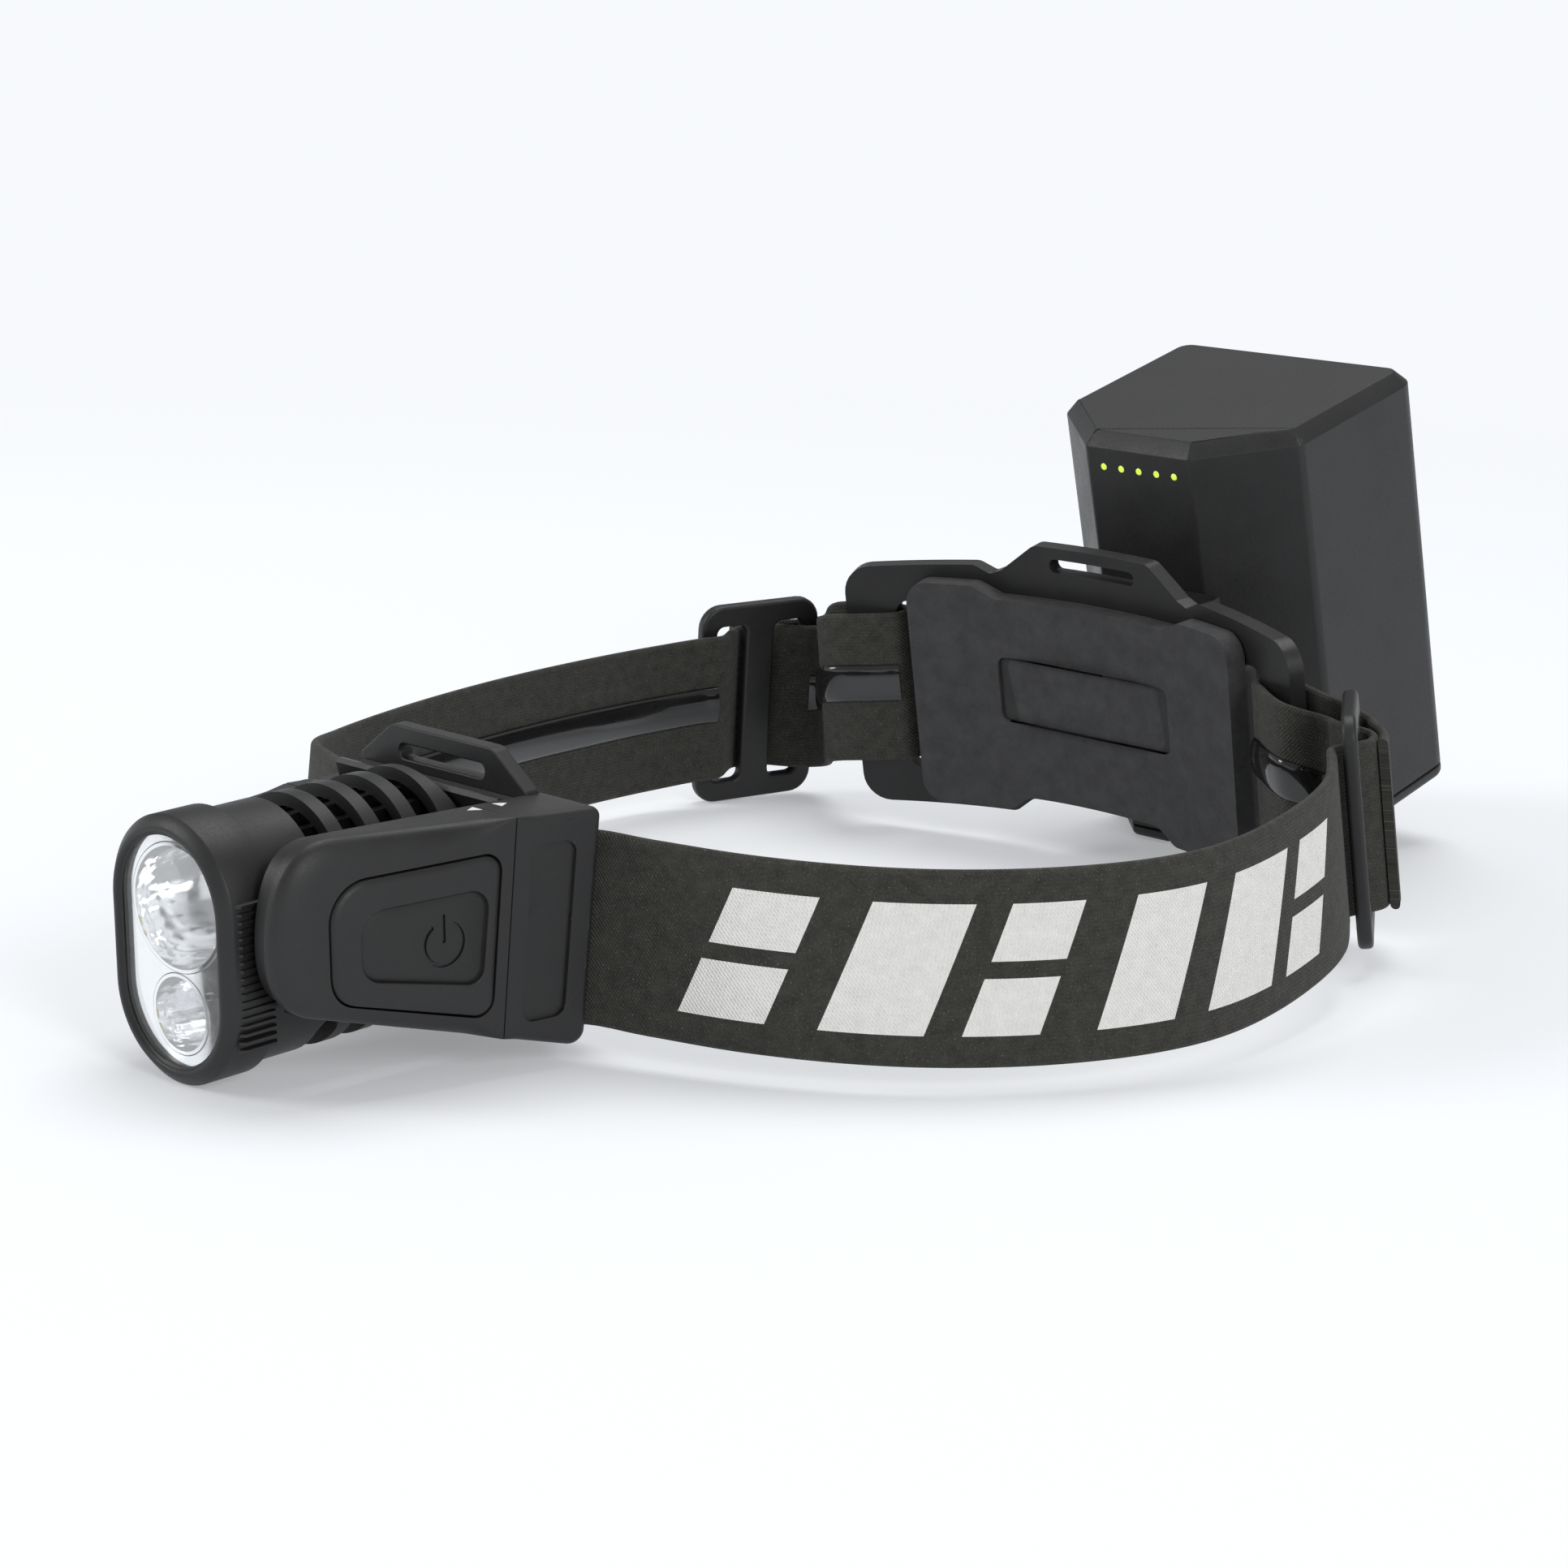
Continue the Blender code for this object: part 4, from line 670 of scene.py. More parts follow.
def dome(name, z, radius, y_base, material):
    """The clear dome over a chip: a half ball, r = R cos(p) and y = -R sin(p)."""
    p = np.radians(np.linspace(0.0, 88.0, 12))
    a = np.linspace(0.0, math.tau, 32, endpoint=False)
    r = radius * np.cos(p)[:, None]
    y = y_base - radius * np.sin(p)[:, None] + 0 * a
    rings = np.stack([r * np.cos(a), y, z + r * np.sin(a)], -1)
    return loft(name, rings, LAMP, material)


for name, z in (("flood", FLOOD_Z), ("spot", SPOT_Z)):
    dome(f"{name}_dome", z, 2.0, RIM_Y + 12.3, PAINT["lens"])
print("lens, two bowls and their plate")

# %% [markdown]
# ## Vent sleeve
# The housing behind the bezel is a stadium tube clipped by a cylinder about the pivot. Slots with round
# ends run over its top and under its bottom; lengthwise cooling fins show through them.

# %% Vent sleeve
SLEEVE_INSET, SLEEVE_WALL = 1.0, 2.0
SLEEVE_FRONT = BEZEL_BACK + 0.3
VENT_PITCH, VENT_WIDTH = 6.9, 4.2
PIVOT_Y, PIVOT_Z = PIVOT[1], PIVOT[2]


def sleeve_body(name, k, tail, front):
    """The stadium drawn in by k, from the front back to a cylinder of the given radius about the pivot."""
    body = solid(name, "y", stadium(k, 48), front, PIVOT_Y + 40)
    clip = solid("clip", "x", arc((PIVOT_Y, PIVOT_Z), tail, 0, 360, 181)[:-1], -30, 30)
    return carve(body, [clip], "INTERSECT")


sleeve = sleeve_body("vent_housing", SLEEVE_INSET, TAIL_RADIUS, SLEEVE_FRONT)
sleeve_bore = sleeve_body("bore", SLEEVE_INSET + SLEEVE_WALL, TAIL_RADIUS - SLEEVE_WALL, SLEEVE_FRONT - 5)
cutters = [sleeve_bore]
for number in range(5):
    y = SLEEVE_FRONT + 8.2 + VENT_PITCH * (number + 0.5)
    window = rectangle(11.6, VENT_WIDTH / 2, VENT_WIDTH / 2 - 0.05, (0.0, y), 10)
    if number < 4:
        cutters.append(solid("slot", "z", window, HEAD_Z + 8.0, HEAD_Z + 40))
    if number < 3:
        cutters.append(solid("slot", "z", window, HEAD_Z - 40, HEAD_Z - 8.0))
cutters.append(solid("hole", "x", arc((PIVOT_Y, PIVOT_Z), 4.2, 0, 360, 49)[:-1], -30, 30))
carve(sleeve, cutters)
sleeve.data.materials.append(PAINT["shell"])
round_edges(sleeve, 0.3)
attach(sleeve, LAMP)
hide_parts("vent_sleeve")
print("vent housing:", len(sleeve.data.polygons), "faces before its bevel")

# %% [markdown]
# ## Arms of the bracket
# Each arm is seen from the side as a round nose that widens and rakes back to a seam. The outer face is a
# plane that spreads towards the rear, so a flat outline in (y, z) is lifted onto it by
# x = spread + flare (y + 85). The far arm is slimmer and lower than the near one, so each side has its
# own sizes. Rings of growing inset make the soft edge, broad at the nose and narrow at the seam.

# %% Arm covers, caps and the button
SIGN = {"near": 1, "far": -1}
ARM_INNER_X, ARM_WALL = 15.5, 3.0
COVER_X = ARM_INNER_X + ARM_WALL + 0.3
ARM_REAR_Y, ARM_FOOT = -83.0, 9.0


SPREAD, FLARE = {"near": 31.0, "far": 26.0}, {"near": 0.17, "far": 0.115}
NOSE_RADIUS = {"near": 13.5, "far": 7.0}
NOSE_PULL = {"near": 3.0, "far": 0.0}
REAR_TOP = {"near": 46.1, "far": 43.0}
DECK_Z = 46.1


def arm_face(y, side="near"):
    """The spreading outer face: x = spread + flare (y + 85)."""
    return SPREAD[side] + FLARE[side] * (y + 85.0)


def seam(z):
    return -98.4 - 0.094 * (45.3 - z)


def rear_edge(z):
    return ARM_REAR_Y - 0.105 * (DECK_Z - z)


def arm_outlines(side):
    """Side views of the cover and the cap: a round nose, two straight lines, the seam and a raked rear."""
    radius, rear_top = NOSE_RADIUS[side], REAR_TOP[side]
    run, drop = ARM_REAR_Y - 3.9 - PIVOT_Y, PIVOT_Z - ARM_FOOT
    angle = math.atan2(drop, -run) + math.asin(radius / math.hypot(run, drop))
    touch = (PIVOT_Y + radius * math.cos(angle + math.pi / 2), PIVOT_Z + radius * math.sin(angle + math.pi / 2))

    def foot(y):
        return touch[1] + (y - touch[0]) * math.tan(angle)

    def crown(y):
        return rear_top + (PIVOT_Z + radius - rear_top) / (PIVOT_Y - ARM_REAR_Y) * (y - ARM_REAR_Y)

    top_y, foot_y = seam(crown(-98.4)), seam(foot(-101.5))
    nose = arc((PIVOT_Y, PIVOT_Z), radius, 90, 90 + math.degrees(angle), 44)
    nose[:, 0] += NOSE_PULL[side] * np.sin(np.linspace(0.0, math.pi, len(nose))) ** 2
    cover = np.concatenate([[(top_y, crown(top_y))], nose, [(foot_y, foot(foot_y))]])
    cap = rounded_outline([(top_y + 0.15, crown(top_y), 0.1), (foot_y + 0.15, foot(foot_y), 0.1),
                           (rear_edge(foot(-87.0)), foot(-87.0), 2.4), (rear_edge(rear_top), rear_top, 1.6)], 8)
    inner = np.concatenate([[(-96.0, crown(-96.0) - 1.0)],
                            inset(nose, 1.0)[1:]])
    return dense(cover), dense(cap), inner, crown


def dense(outline, step=1.2):
    """Put extra points on the long sides of an outline, so that it can bend over a curved face."""
    outline = np.asarray(outline, float)
    pieces = []
    for a, b in zip(outline, np.roll(outline, -1, 0)):
        count = max(1, int(math.ceil(np.linalg.norm(b - a) / step)))
        t = np.arange(count)[:, None] / count
        pieces.append(a + (b - a) * t)
    return np.concatenate(pieces)


def soft_shell(name, side, outline, edge, depth, body, material, rise=0.0, base=COVER_X, profile=9):
    """From a flat back wall to the spreading face, over a rounded edge of width edge and the given depth.

    Ring p has inset edge (1 - cos p) and lies depth (1 - sin p) below the face, for p from 0 to 90 degrees;
    edge and depth may differ from point to point.
    """
    sign = SIGN[side]
    rings = [across("x", outline, sign * base)]
    for p in np.radians(np.linspace(0.0, 90.0, profile)):
        drawn = inset(outline, edge * (1 - math.cos(p)))
        face = arm_face(drawn[:, 0], side) + rise - depth * (1 - math.sin(p))
        rings.append(across("x", drawn, sign * face))
    return loft(name, rings, body, material)


def edge_width(outline, side):
    """How wide the cover's edge is: hardly any at the seam, broad round the nose."""
    from_seam = np.clip((seam(outline[:, 1]) - outline[:, 0]) / 6.0, 0.0, 1.0)
    towards_nose = np.clip((-104.0 - outline[:, 0]) / 26.0, 0.0, 1.0)
    full = {"near": 2.8 + 2.6 * towards_nose, "far": 1.4 + 0.6 * towards_nose}[side]
    return 0.12 + from_seam * full


def button_outline(grow):
    """A D that leans with the seam behind it; grow moves it outwards."""
    top, rear_foot, margin = 42.0, 17.1, 2.3
    corners = [(seam(top) - margin, top, 2.6), (-129.6, top, 6.0), (-129.6, 24.4, 5.0),
               (seam(rear_foot) - margin, rear_foot, 2.6)]
    return inset(rounded_outline(corners, 12), -grow)


def recess_outline(grow):
    """The softer field inside the button, again a D."""
    corners = [(-103.4, 37.2, 3.0), (-125.0, 37.2, 4.2), (-125.0, 27.0, 3.6), (-105.0, 22.6, 2.4)]
    return inset(rounded_outline(corners, 12), -grow)


OUTLINES = {side: arm_outlines(side) for side in SIGN}
STRAP_GAP = [(22.6, -77.0), (22.6, -95.0), (26.2, -95.0), (32.6, -77.0)]  # (x, y), for the strap to pass
GAP_LOW, GAP_HIGH = 10.6, 43.9
COVER_DEPTH = {"near": 2.6, "far": 1.2}
CAP_EDGE, KNIFE_EDGE = 1.4, 0.2
PANEL_LOW, PANEL_BELOW_TOP, PANEL_DEPTH = 15.0, 4.1, 0.65
PANEL_REAR, PANEL_FRONT, PANEL_CORNER = 4.4, 3.0, 2.0  # from the rear edge, from the seam, and rounding
CUT_END = 45.0  # a side level beyond every outer face
for side, sign in SIGN.items():
    cover_outline, cap_outline, _, _ = OUTLINES[side]
    edge = edge_width(cover_outline, side)
    depth = np.minimum(edge, COVER_DEPTH[side])
    cover = soft_shell(f"arm_cover_{side}_skin", side, cover_outline, edge, depth, BRACKET, PAINT["shell"])
    if side == "near":
        pocket = dense(button_outline(0.3))
        carve(cover, [loft("pocket", np.stack([across("x", pocket, COVER_X - 2), across("x", pocket, CUT_END)]))])
    round_edges(cover, KNIFE_EDGE, angle=50.0)
    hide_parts(f"arm_cover_{side}")
    from_seam = np.clip((cap_outline[:, 0] - seam(cap_outline[:, 1])) / 3.0, 0.08, 1.0)
    cap_edge = CAP_EDGE * from_seam
    cap = soft_shell(f"end_cap_{side}_skin", side, cap_outline, cap_edge, cap_edge, BRACKET, PAINT["shell"])
    low, high = PANEL_LOW, REAR_TOP[side] - PANEL_BELOW_TOP
    corners = [(rear_edge(low) - PANEL_REAR, low), (rear_edge(high) - PANEL_REAR, high),
               (seam(high) + PANEL_FRONT, high), (seam(low) + PANEL_FRONT, low)]
    panel = dense(rounded_outline([(y, z, PANEL_CORNER) for y, z in corners], 8))
    floor_x = arm_face(panel[:, 0], side) - PANEL_DEPTH
    gap = solid("gap", "z", [(sign * x, y) for x, y in STRAP_GAP][::-sign], GAP_LOW, GAP_HIGH)
    panel_rings = np.stack([across("x", panel, sign * floor_x), across("x", panel, sign * CUT_END)])
    carve(cap, [loft("panel", panel_rings), gap])
    round_edges(cap, KNIFE_EDGE, angle=50.0)
    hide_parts(f"end_cap_{side}", f"cap_screw_{side}_upper", f"cap_screw_{side}_lower")

button = soft_shell("power_button_skin", "near", dense(button_outline(0.0)), 1.3, 0.9, BUTTON, PAINT["shell"], 0.55,
                    COVER_X + 3.5)
field = dense(recess_outline(0.0))
face_low = across("x", field, arm_face(field[:, 0]) - 0.25)
carve(button, [loft("field", np.stack([face_low, across("x", field, 45.0)]))])
round_edges(button, 0.25, angle=50.0)
soft = dense(recess_outline(-0.05))
soft_rings = [across("x", soft, arm_face(soft[:, 0]) - 0.9), across("x", soft, arm_face(soft[:, 0]) - 0.15)]
drawn = inset(soft, 0.9)
soft_rings.append(across("x", drawn, arm_face(drawn[:, 0]) + 0.2))
key = loft("button_soft_key", soft_rings, BUTTON, PAINT["soft"])

SYMBOL = (-111.3, 30.1)
symbol_arc = np.concatenate([arc(SYMBOL, 3.55, 122, 418, 60), arc(SYMBOL, 2.95, 418, 122, 60)])
bar = rectangle(0.32, 2.2, 0.3, (SYMBOL[0], SYMBOL[1] + 2.3), 6)
for number, flat in enumerate((symbol_arc, bar)):
    low, high = arm_face(flat[:, 0]) - 0.2, arm_face(flat[:, 0]) + 2.0
    carve(key, [loft("symbol", np.stack([across("x", flat, low), across("x", flat, high)]))])
    ink = inset(flat, 0.05)
    inlay = loft(f"symbol_inlay_{number + 1}",
                 np.stack([across("x", ink, arm_face(ink[:, 0]) - 0.5), across("x", ink, arm_face(ink[:, 0]) - 0.1)]),
                 BUTTON, PAINT["trim"])
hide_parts("power_button")
print("arm covers, caps and the button")

# %% [markdown]
# ## Bracket, forehead plate and its tab
# The bracket is a cross bar, hollowed in front so that the head can swing, with a wall for each arm joined
# to it. Behind it a plate rises into a tab with a slot, and a foam pad lies against the forehead.

# %% Bracket and forehead plate
CROSS_FRONT = PIVOT_Y + TAIL_RADIUS + 1.0
CROSS_BACK = CROSS_FRONT + 3.6
outer = ARM_INNER_X + ARM_WALL
BAR_LOW_Z = ARM_FOOT + 2.5
rise = np.linspace(PIVOT_Z, DECK_Z, 12)
swing = PIVOT_Y + np.sqrt((TAIL_RADIUS + 1.0) ** 2 - (rise - PIVOT_Z) ** 2)
lip = [(swing[-1] + 0.5, DECK_Z + 0.7), (swing[-1] + 1.4, DECK_Z + 0.5), (swing[-1] + 2.6, DECK_Z - 0.6),
       (CROSS_BACK - 0.6, DECK_Z - 0.9)]
bar_outline = np.concatenate([[(CROSS_FRONT, BAR_LOW_Z)], np.stack([swing, rise], -1), lip,
                              [(CROSS_BACK, DECK_Z - 0.4), (CROSS_BACK, BAR_LOW_Z)]])
yoke = solid("yoke", "x", bar_outline, -outer, outer)
for side, sign in SIGN.items():
    end = CROSS_BACK - 0.5
    wall = np.concatenate([OUTLINES[side][2], [(end, BAR_LOW_Z + 0.5), (end, REAR_TOP[side] - 1.0)]])
    carve(yoke, [solid("wall", "x", wall, sign * ARM_INNER_X, sign * (outer - 0.05))], "UNION")
carve(yoke, [solid("hole", "x", arc((PIVOT_Y, PIVOT_Z), 4.2, 0, 360, 49)[:-1], -30, 30)])
yoke.data.materials.append(PAINT["shell"])
round_edges(yoke, 0.5)
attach(yoke, BRACKET)
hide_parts("bracket_frame")

PLATE_FRONT = CROSS_BACK + 0.3
TAB_BASE, TAB_HALF, TAB_TOP = DECK_Z + 0.3, 20.0, 52.4
half = outer - 0.3
tab = rounded_outline([(-half, 10.0, 2.0), (half, 10.0, 2.0), (half, TAB_BASE - 1.0, 0.3),
                       (TAB_HALF, TAB_BASE - 0.4, 0.8), (11.6, TAB_TOP, 3.0), (-11.6, TAB_TOP, 3.0),
                       (-TAB_HALF, TAB_BASE - 0.4, 0.8), (-half, TAB_BASE - 1.0, 0.3)], 8)
forehead = solid("forehead_plate_skin", "y", tab, PLATE_FRONT, PLATE_FRONT + 2.8)
carve(forehead, [solid("slot", "y", rectangle(9.8, 1.2, 1.15, (0.0, TAB_BASE + 2.0), 8),
                       PLATE_FRONT - 5, PLATE_FRONT + 8)])
forehead.data.materials.append(PAINT["shell"])
round_edges(forehead, 0.6)
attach(forehead, BRACKET)
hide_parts("forehead_plate")


def pillow(name, half_u, half_v, radius, centre, near_y, far_y, bulge, body, material):
    """A soft slab: rings shrink by e (1 - cos p) towards both faces, and the far face swells by the bulge."""
    base = rectangle(half_u, half_v, radius, centre, 14)
    edge = (far_y - near_y) / 2
    middle = (far_y + near_y) / 2
    rings = []
    for p in np.radians(np.linspace(-90.0, 90.0, 19)):
        drawn = inset(base, min(edge, radius) * (1 - math.cos(p)) * 0.9)
        rings.append(across("y", drawn, middle + edge * math.sin(p)))
    core = rings[-1]
    for share in (0.97, 0.9, 0.75, 0.5, 0.25, 0.05):
        spread = np.array([centre[0], far_y, centre[1]])
        grown = spread + (core - spread) * share
        grown[:, 1] = far_y + bulge * (1 - share ** 2)
        rings.append(grown)
    return loft(name, rings, body, material)


brow = pillow("forehead_cushion", 27.0, 14.5, 5.0, (0.0, 27.0), ARM_REAR_Y + 0.6, ARM_REAR_Y + 4.6, 0.0,
              BRACKET, PAINT["pad"])
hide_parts("forehead_pad")

for number, (y, point) in enumerate(((-99.9, -1), (-94.2, 1))):
    flat = np.array([(20.9 - 1.1, y + 0.9 * -point), (20.9 + 1.1, y + 0.9 * -point), (20.9, y + 1.1 * point)])
    flat = flat if point > 0 else flat[::-1]
    level = OUTLINES["near"][3](flat[:, 1])
    mark_rings = np.stack([across("z", flat, level - 0.2), across("z", flat, level + 0.06)])
    mark = loft(f"tilt_mark_{number + 1}", mark_rings, BRACKET, PAINT["mark"])
print("bracket, forehead plate and cushion")

# %% [markdown]
# ## The strap
# The strap's way is a smooth curve through a few rows of (x, y, foot height, lean). A flat ribbon with
# round edges is swept along it. The curve's own length becomes the first UV coordinate, and the
# distance across the strap the second, both in metres, so that the weave keeps its size everywhere.

# %% Strap route
STRAP_WIDTH, STRAP_THICKNESS = 30.0, 1.7
STRAP_LEAN = math.radians(6.4)
SLIDER_LENGTH, SLIDER_HEIGHT, SLIDER_THICKNESS = 26.0, 41.0, 2.6
SLIDER_BAR, SLIDER_CENTRE_BAR = 3.5, 6.4
PLATE_RADIUS, PLATE_THICKNESS, PLATE_LEAN = 124.0, 3.0, math.radians(8.4)
PLATE_CENTRE = np.array([0.0, 77.0, 28.0])
LUG_SLOT_IN, LUG_SLOT_OUT = 38.5, 44.3
RUN = {
    "near": [(24.6, -92.5, 12.3), (28.5, -86.0, 12.0), (38.0, -81.5, 11.2), (52.0, -75.0, 10.2),
             (72.0, -60.0, 8.8), (86.0, -40.0, 7.6), (93.0, -14.0, 6.4), (90.5, 14.0, 6.8),
             (84.5, 33.0, 7.6)],
    "far": [(24.6, -92.5, 12.3), (28.5, -86.0, 12.0), (38.0, -81.5, 11.4), (52.0, -74.0, 10.0),
            (68.0, -56.0, 6.4), (77.0, -32.0, 5.2), (82.0, -5.0, 4.6), (84.5, 20.0, 3.8),
            (85.0, 42.0, 3.0)],
}
SLIDER_AT = {"near": ((71.2, 58.8), 124.0, 8.0), "far": ((81.5, 65.5), 108.0, 3.2)}


def smooth_rows(rows, step=3.0):
    """Cubic Hermite curve through the rows, with slopes from their neighbours."""
    rows = np.array(rows, float)
    chord = np.linalg.norm(np.diff(rows[:, :2], axis=0), axis=1)
    distance = np.concatenate([[0.0], np.cumsum(chord)])
    slope = np.gradient(rows, distance, axis=0)
    curve = []
    for i, length in enumerate(chord):
        t = (np.arange(max(1, math.ceil(length / step))) / max(1, math.ceil(length / step)))[:, None]
        curve.append((2 * t ** 3 - 3 * t ** 2 + 1) * rows[i] + (t ** 3 - 2 * t ** 2 + t) * length * slope[i]
                     + (3 * t ** 2 - 2 * t ** 3) * rows[i + 1] + (t ** 3 - t ** 2) * length * slope[i + 1])
    return np.concatenate(curve + [rows[-1:]])


def slider_axes(side):
    (x, y), heading, low = SLIDER_AT[side]
    angle = math.radians(heading)
    ahead = np.array([SIGN[side] * math.cos(angle), math.sin(angle)])
    out = np.array([SIGN[side] * math.sin(angle), -math.cos(angle)])
    return np.array([SIGN[side] * x, y]), ahead, out, -out * STRAP_WIDTH * math.sin(STRAP_LEAN), low


def lug_row(sign, reach, offset):
    """A point beside the curved plate: reach along its arc, offset from its middle."""
    angle = reach / PLATE_RADIUS
    radius = PLATE_RADIUS + offset
    local = [sign * radius * math.sin(angle), radius * math.cos(angle) - PLATE_RADIUS, -STRAP_WIDTH / 2 - 0.2]
    point = seated([local], PLATE_CENTRE, PLATE_LEAN)[0]
    return [point[0], point[1], point[2], 0.0, -STRAP_WIDTH * math.sin(PLATE_LEAN)]


def strap_rows(side):
    """Bracket, slider, round the lug and back over the slider's middle bar."""
    rows = []
    for x, y, low in RUN[side]:
        inward = -np.array([x, y]) / math.hypot(x, y) * STRAP_WIDTH * math.sin(STRAP_LEAN)
        rows.append([SIGN[side] * x, y, low, SIGN[side] * inward[0], inward[1]])
    middle, ahead, out, lean, low = slider_axes(side)
    clear = SLIDER_THICKNESS / 2 + STRAP_THICKNESS / 2 + 0.9
    slot_out, slot_in = SLIDER_LENGTH / 2 - SLIDER_BAR, SLIDER_CENTRE_BAR / 2
    mid = (slot_out + slot_in) / 2

    def at(u, n):
        point = middle + ahead * u + out * n
        return [point[0], point[1], low, lean[0], lean[1]]

    rows += [at(-slot_out - 4.0, -clear), at(-slot_out, -clear), at(-mid, 0.0), at(-slot_in, clear),
             at(slot_in, clear), at(mid, 0.0), at(slot_out, -clear), at(slot_out + 1.5, -clear - 0.8)]
    beside = PLATE_THICKNESS / 2 + STRAP_THICKNESS / 2 + 0.5
    turn = LUG_SLOT_OUT - STRAP_THICKNESS / 2 - 0.8
    for reach, offset in ((turn + 14.6, -beside - 1.2), (turn + 4.0, -beside), (turn + 0.9, -beside * 0.66),
                          (turn, 0.0), (turn + 0.9, beside * 0.66), (turn + 4.0, beside),
                          (turn + 13.0, beside + 0.9)):
        rows.append(lug_row(SIGN[side], reach, offset))
    over = clear + STRAP_THICKNESS + 0.5
    rows += [at(SLIDER_LENGTH / 2, clear), at(slot_out, clear + 0.5), at(mid, over - 0.6),
             at(slot_in, over), at(-slot_in, over)]
    return smooth_rows(rows)


def finer(rows, pieces=3):
    """Resample the CAD route with extra points on the same Hermite curve."""
    t = np.arange(len(rows) * pieces - pieces + 1) / pieces
    i = np.minimum(t.astype(int), len(rows) - 2)
    s = (t - i)[:, None]
    slope = np.gradient(rows, axis=0)
    return ((2 * s ** 3 - 3 * s ** 2 + 1) * rows[i] + (s ** 3 - 2 * s ** 2 + s) * slope[i]
            + (3 * s ** 2 - 2 * s ** 3) * rows[i + 1] + (s ** 3 - s ** 2) * slope[i + 1])


def band(name, rows, sign, middle, thickness, low, high, body, material, domed=False):
    """A ribbon along rows: cross-section a flat stadium, thick along the row's normal, tall along Z.

    Point (offset n, level w) goes to (x, y) + normal n + lean w / width, foot + w cos(lean).
    """
    travel = np.gradient(rows[:, :2], axis=0)
    travel /= np.linalg.norm(travel, axis=1)[:, None]
    normal = np.stack([sign * travel[:, 1], -sign * travel[:, 0]], -1)
    r = thickness / 2
    levels = np.linspace(low + r, high - r, 25)[1:-1]
    outline = np.concatenate([arc((0, high - r), r, 0, 180, 9), np.stack([levels * 0 - r, levels[::-1]], -1),
                              arc((0, low + r), r, 180, 360, 9), np.stack([levels * 0 + r, levels], -1)])
    if domed:
        turn = np.radians(np.linspace(0.0, 180.0, 21))
        outline = np.stack([-thickness * np.sin(turn), (low + high) / 2 + (high - low) / 2 * np.cos(turn)], -1)
    n, w = middle + outline[:, 0], outline[:, 1]
    run = np.concatenate([[0.0], np.cumsum(np.linalg.norm(np.diff(rows[:, :3], axis=0), axis=1))])
    share = w / STRAP_WIDTH
    x = rows[:, 0:1] + normal[:, 0:1] * n + rows[:, 3:4] * share
    y = rows[:, 1:2] + normal[:, 1:2] * n + rows[:, 4:5] * share
    z = rows[:, 2:3] + w * math.cos(STRAP_LEAN) + 0 * x
    uv = np.stack([run[:, None] + 0 * w, w[None, :] + 0 * run[:, None]], -1) * MM
    return loft(name, np.stack([x, y, z], -1), body, material, uv=uv, sharp=60.0), outline, run


# %% Straps, strips and sliders
for side, sign in SIGN.items():
    rows = finer(strap_rows(side))
    strap, outline, run = band(f"strap_{side}_webbing", rows, sign, 0.0, STRAP_THICKNESS, 0.0, STRAP_WIDTH, BRACKET,
                               PAINT["webbing"])
    if side == "near":
        strap.data.materials.append(PAINT["print"])
        size = len(outline)
        faces = (len(rows) - 1) * size
        column = np.arange(len(strap.data.polygons)) % size
        outer_face = (outline[column, 0] > STRAP_THICKNESS * 0.45) & (np.arange(len(column)) < faces)
        along = run[np.minimum(np.arange(len(column)) // size, len(run) - 1)]
        printed = outer_face & (along > 8.0) & (along < 175.0)
        strap.data.polygons.foreach_set("material_index", printed.astype(np.int32))
    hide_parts(f"strap_{side}")

    middle, ahead, out, lean, low = slider_axes(side)
    reach = (rows[:, :2] - middle) @ ahead
    first = int(np.argmax(rows[:, 1] > ARM_REAR_Y + 5.0))
    last = int(np.argmax(reach > -(SLIDER_LENGTH / 2 - SLIDER_BAR) - 1.0))
    inner = -STRAP_THICKNESS / 2 - 0.02
    strip, _, _ = band(f"grip_strip_{side}_skin", rows[first:last], sign, inner, 1.45, 12.3, 19.7, BRACKET,
                       PAINT["strip"], True)
    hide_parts(f"grip_strip_{side}")
    past = int(np.argmax(reach > SLIDER_LENGTH / 2 - SLIDER_BAR + 0.6))
    lug = np.array(lug_row(sign, LUG_SLOT_OUT - STRAP_THICKNESS / 2 - 0.8, 0.0)[:2])
    stop = past + int(np.argmin(np.linalg.norm(rows[past:past + 120, :2] - lug, axis=1))) - 4
    tail, _, _ = band(f"grip_strip_{side}_tail", rows[past:stop], sign, inner, 1.1, 12.3, 19.7, BRACKET,
                      PAINT["strip"], True)

    up = np.array([lean[0], lean[1], STRAP_WIDTH * math.cos(STRAP_LEAN)])
    up /= np.linalg.norm(up)
    forward = np.array([ahead[0], ahead[1], 0.0])
    outward = np.cross(up, forward)
    centre = np.array([middle[0], middle[1], low]) + up * STRAP_WIDTH / 2
    axes = np.stack([forward, outward, up])

    def seat_slider(points, axes=axes, centre=centre):
        return place(np.asarray(points, float) @ axes + centre)

    thick = SLIDER_THICKNESS / 2
    plate = solid(f"slider_{side}_skin", "y", rectangle(SLIDER_LENGTH / 2, SLIDER_HEIGHT / 2, 4.5), -thick, thick,
                  seat_slider)
    slot_in, slot_out = SLIDER_CENTRE_BAR / 2, SLIDER_LENGTH / 2 - SLIDER_BAR
    holes = [rectangle((slot_out - slot_in) / 2, STRAP_WIDTH / 2 + 1.2, 1.5,
                       (hand * (slot_in + slot_out) / 2, 0.0)) for hand in (-1, 1)]
    carve(plate, [solid("slot", "y", hole, -10, 10, seat_slider) for hole in holes])
    plate.data.materials.append(PAINT["shell"])
    round_edges(plate, 0.75)
    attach(plate, BRACKET)
    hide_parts(f"slider_{side}")
    print(side, "strap length in mm:", round(float(run[-1]), 1))

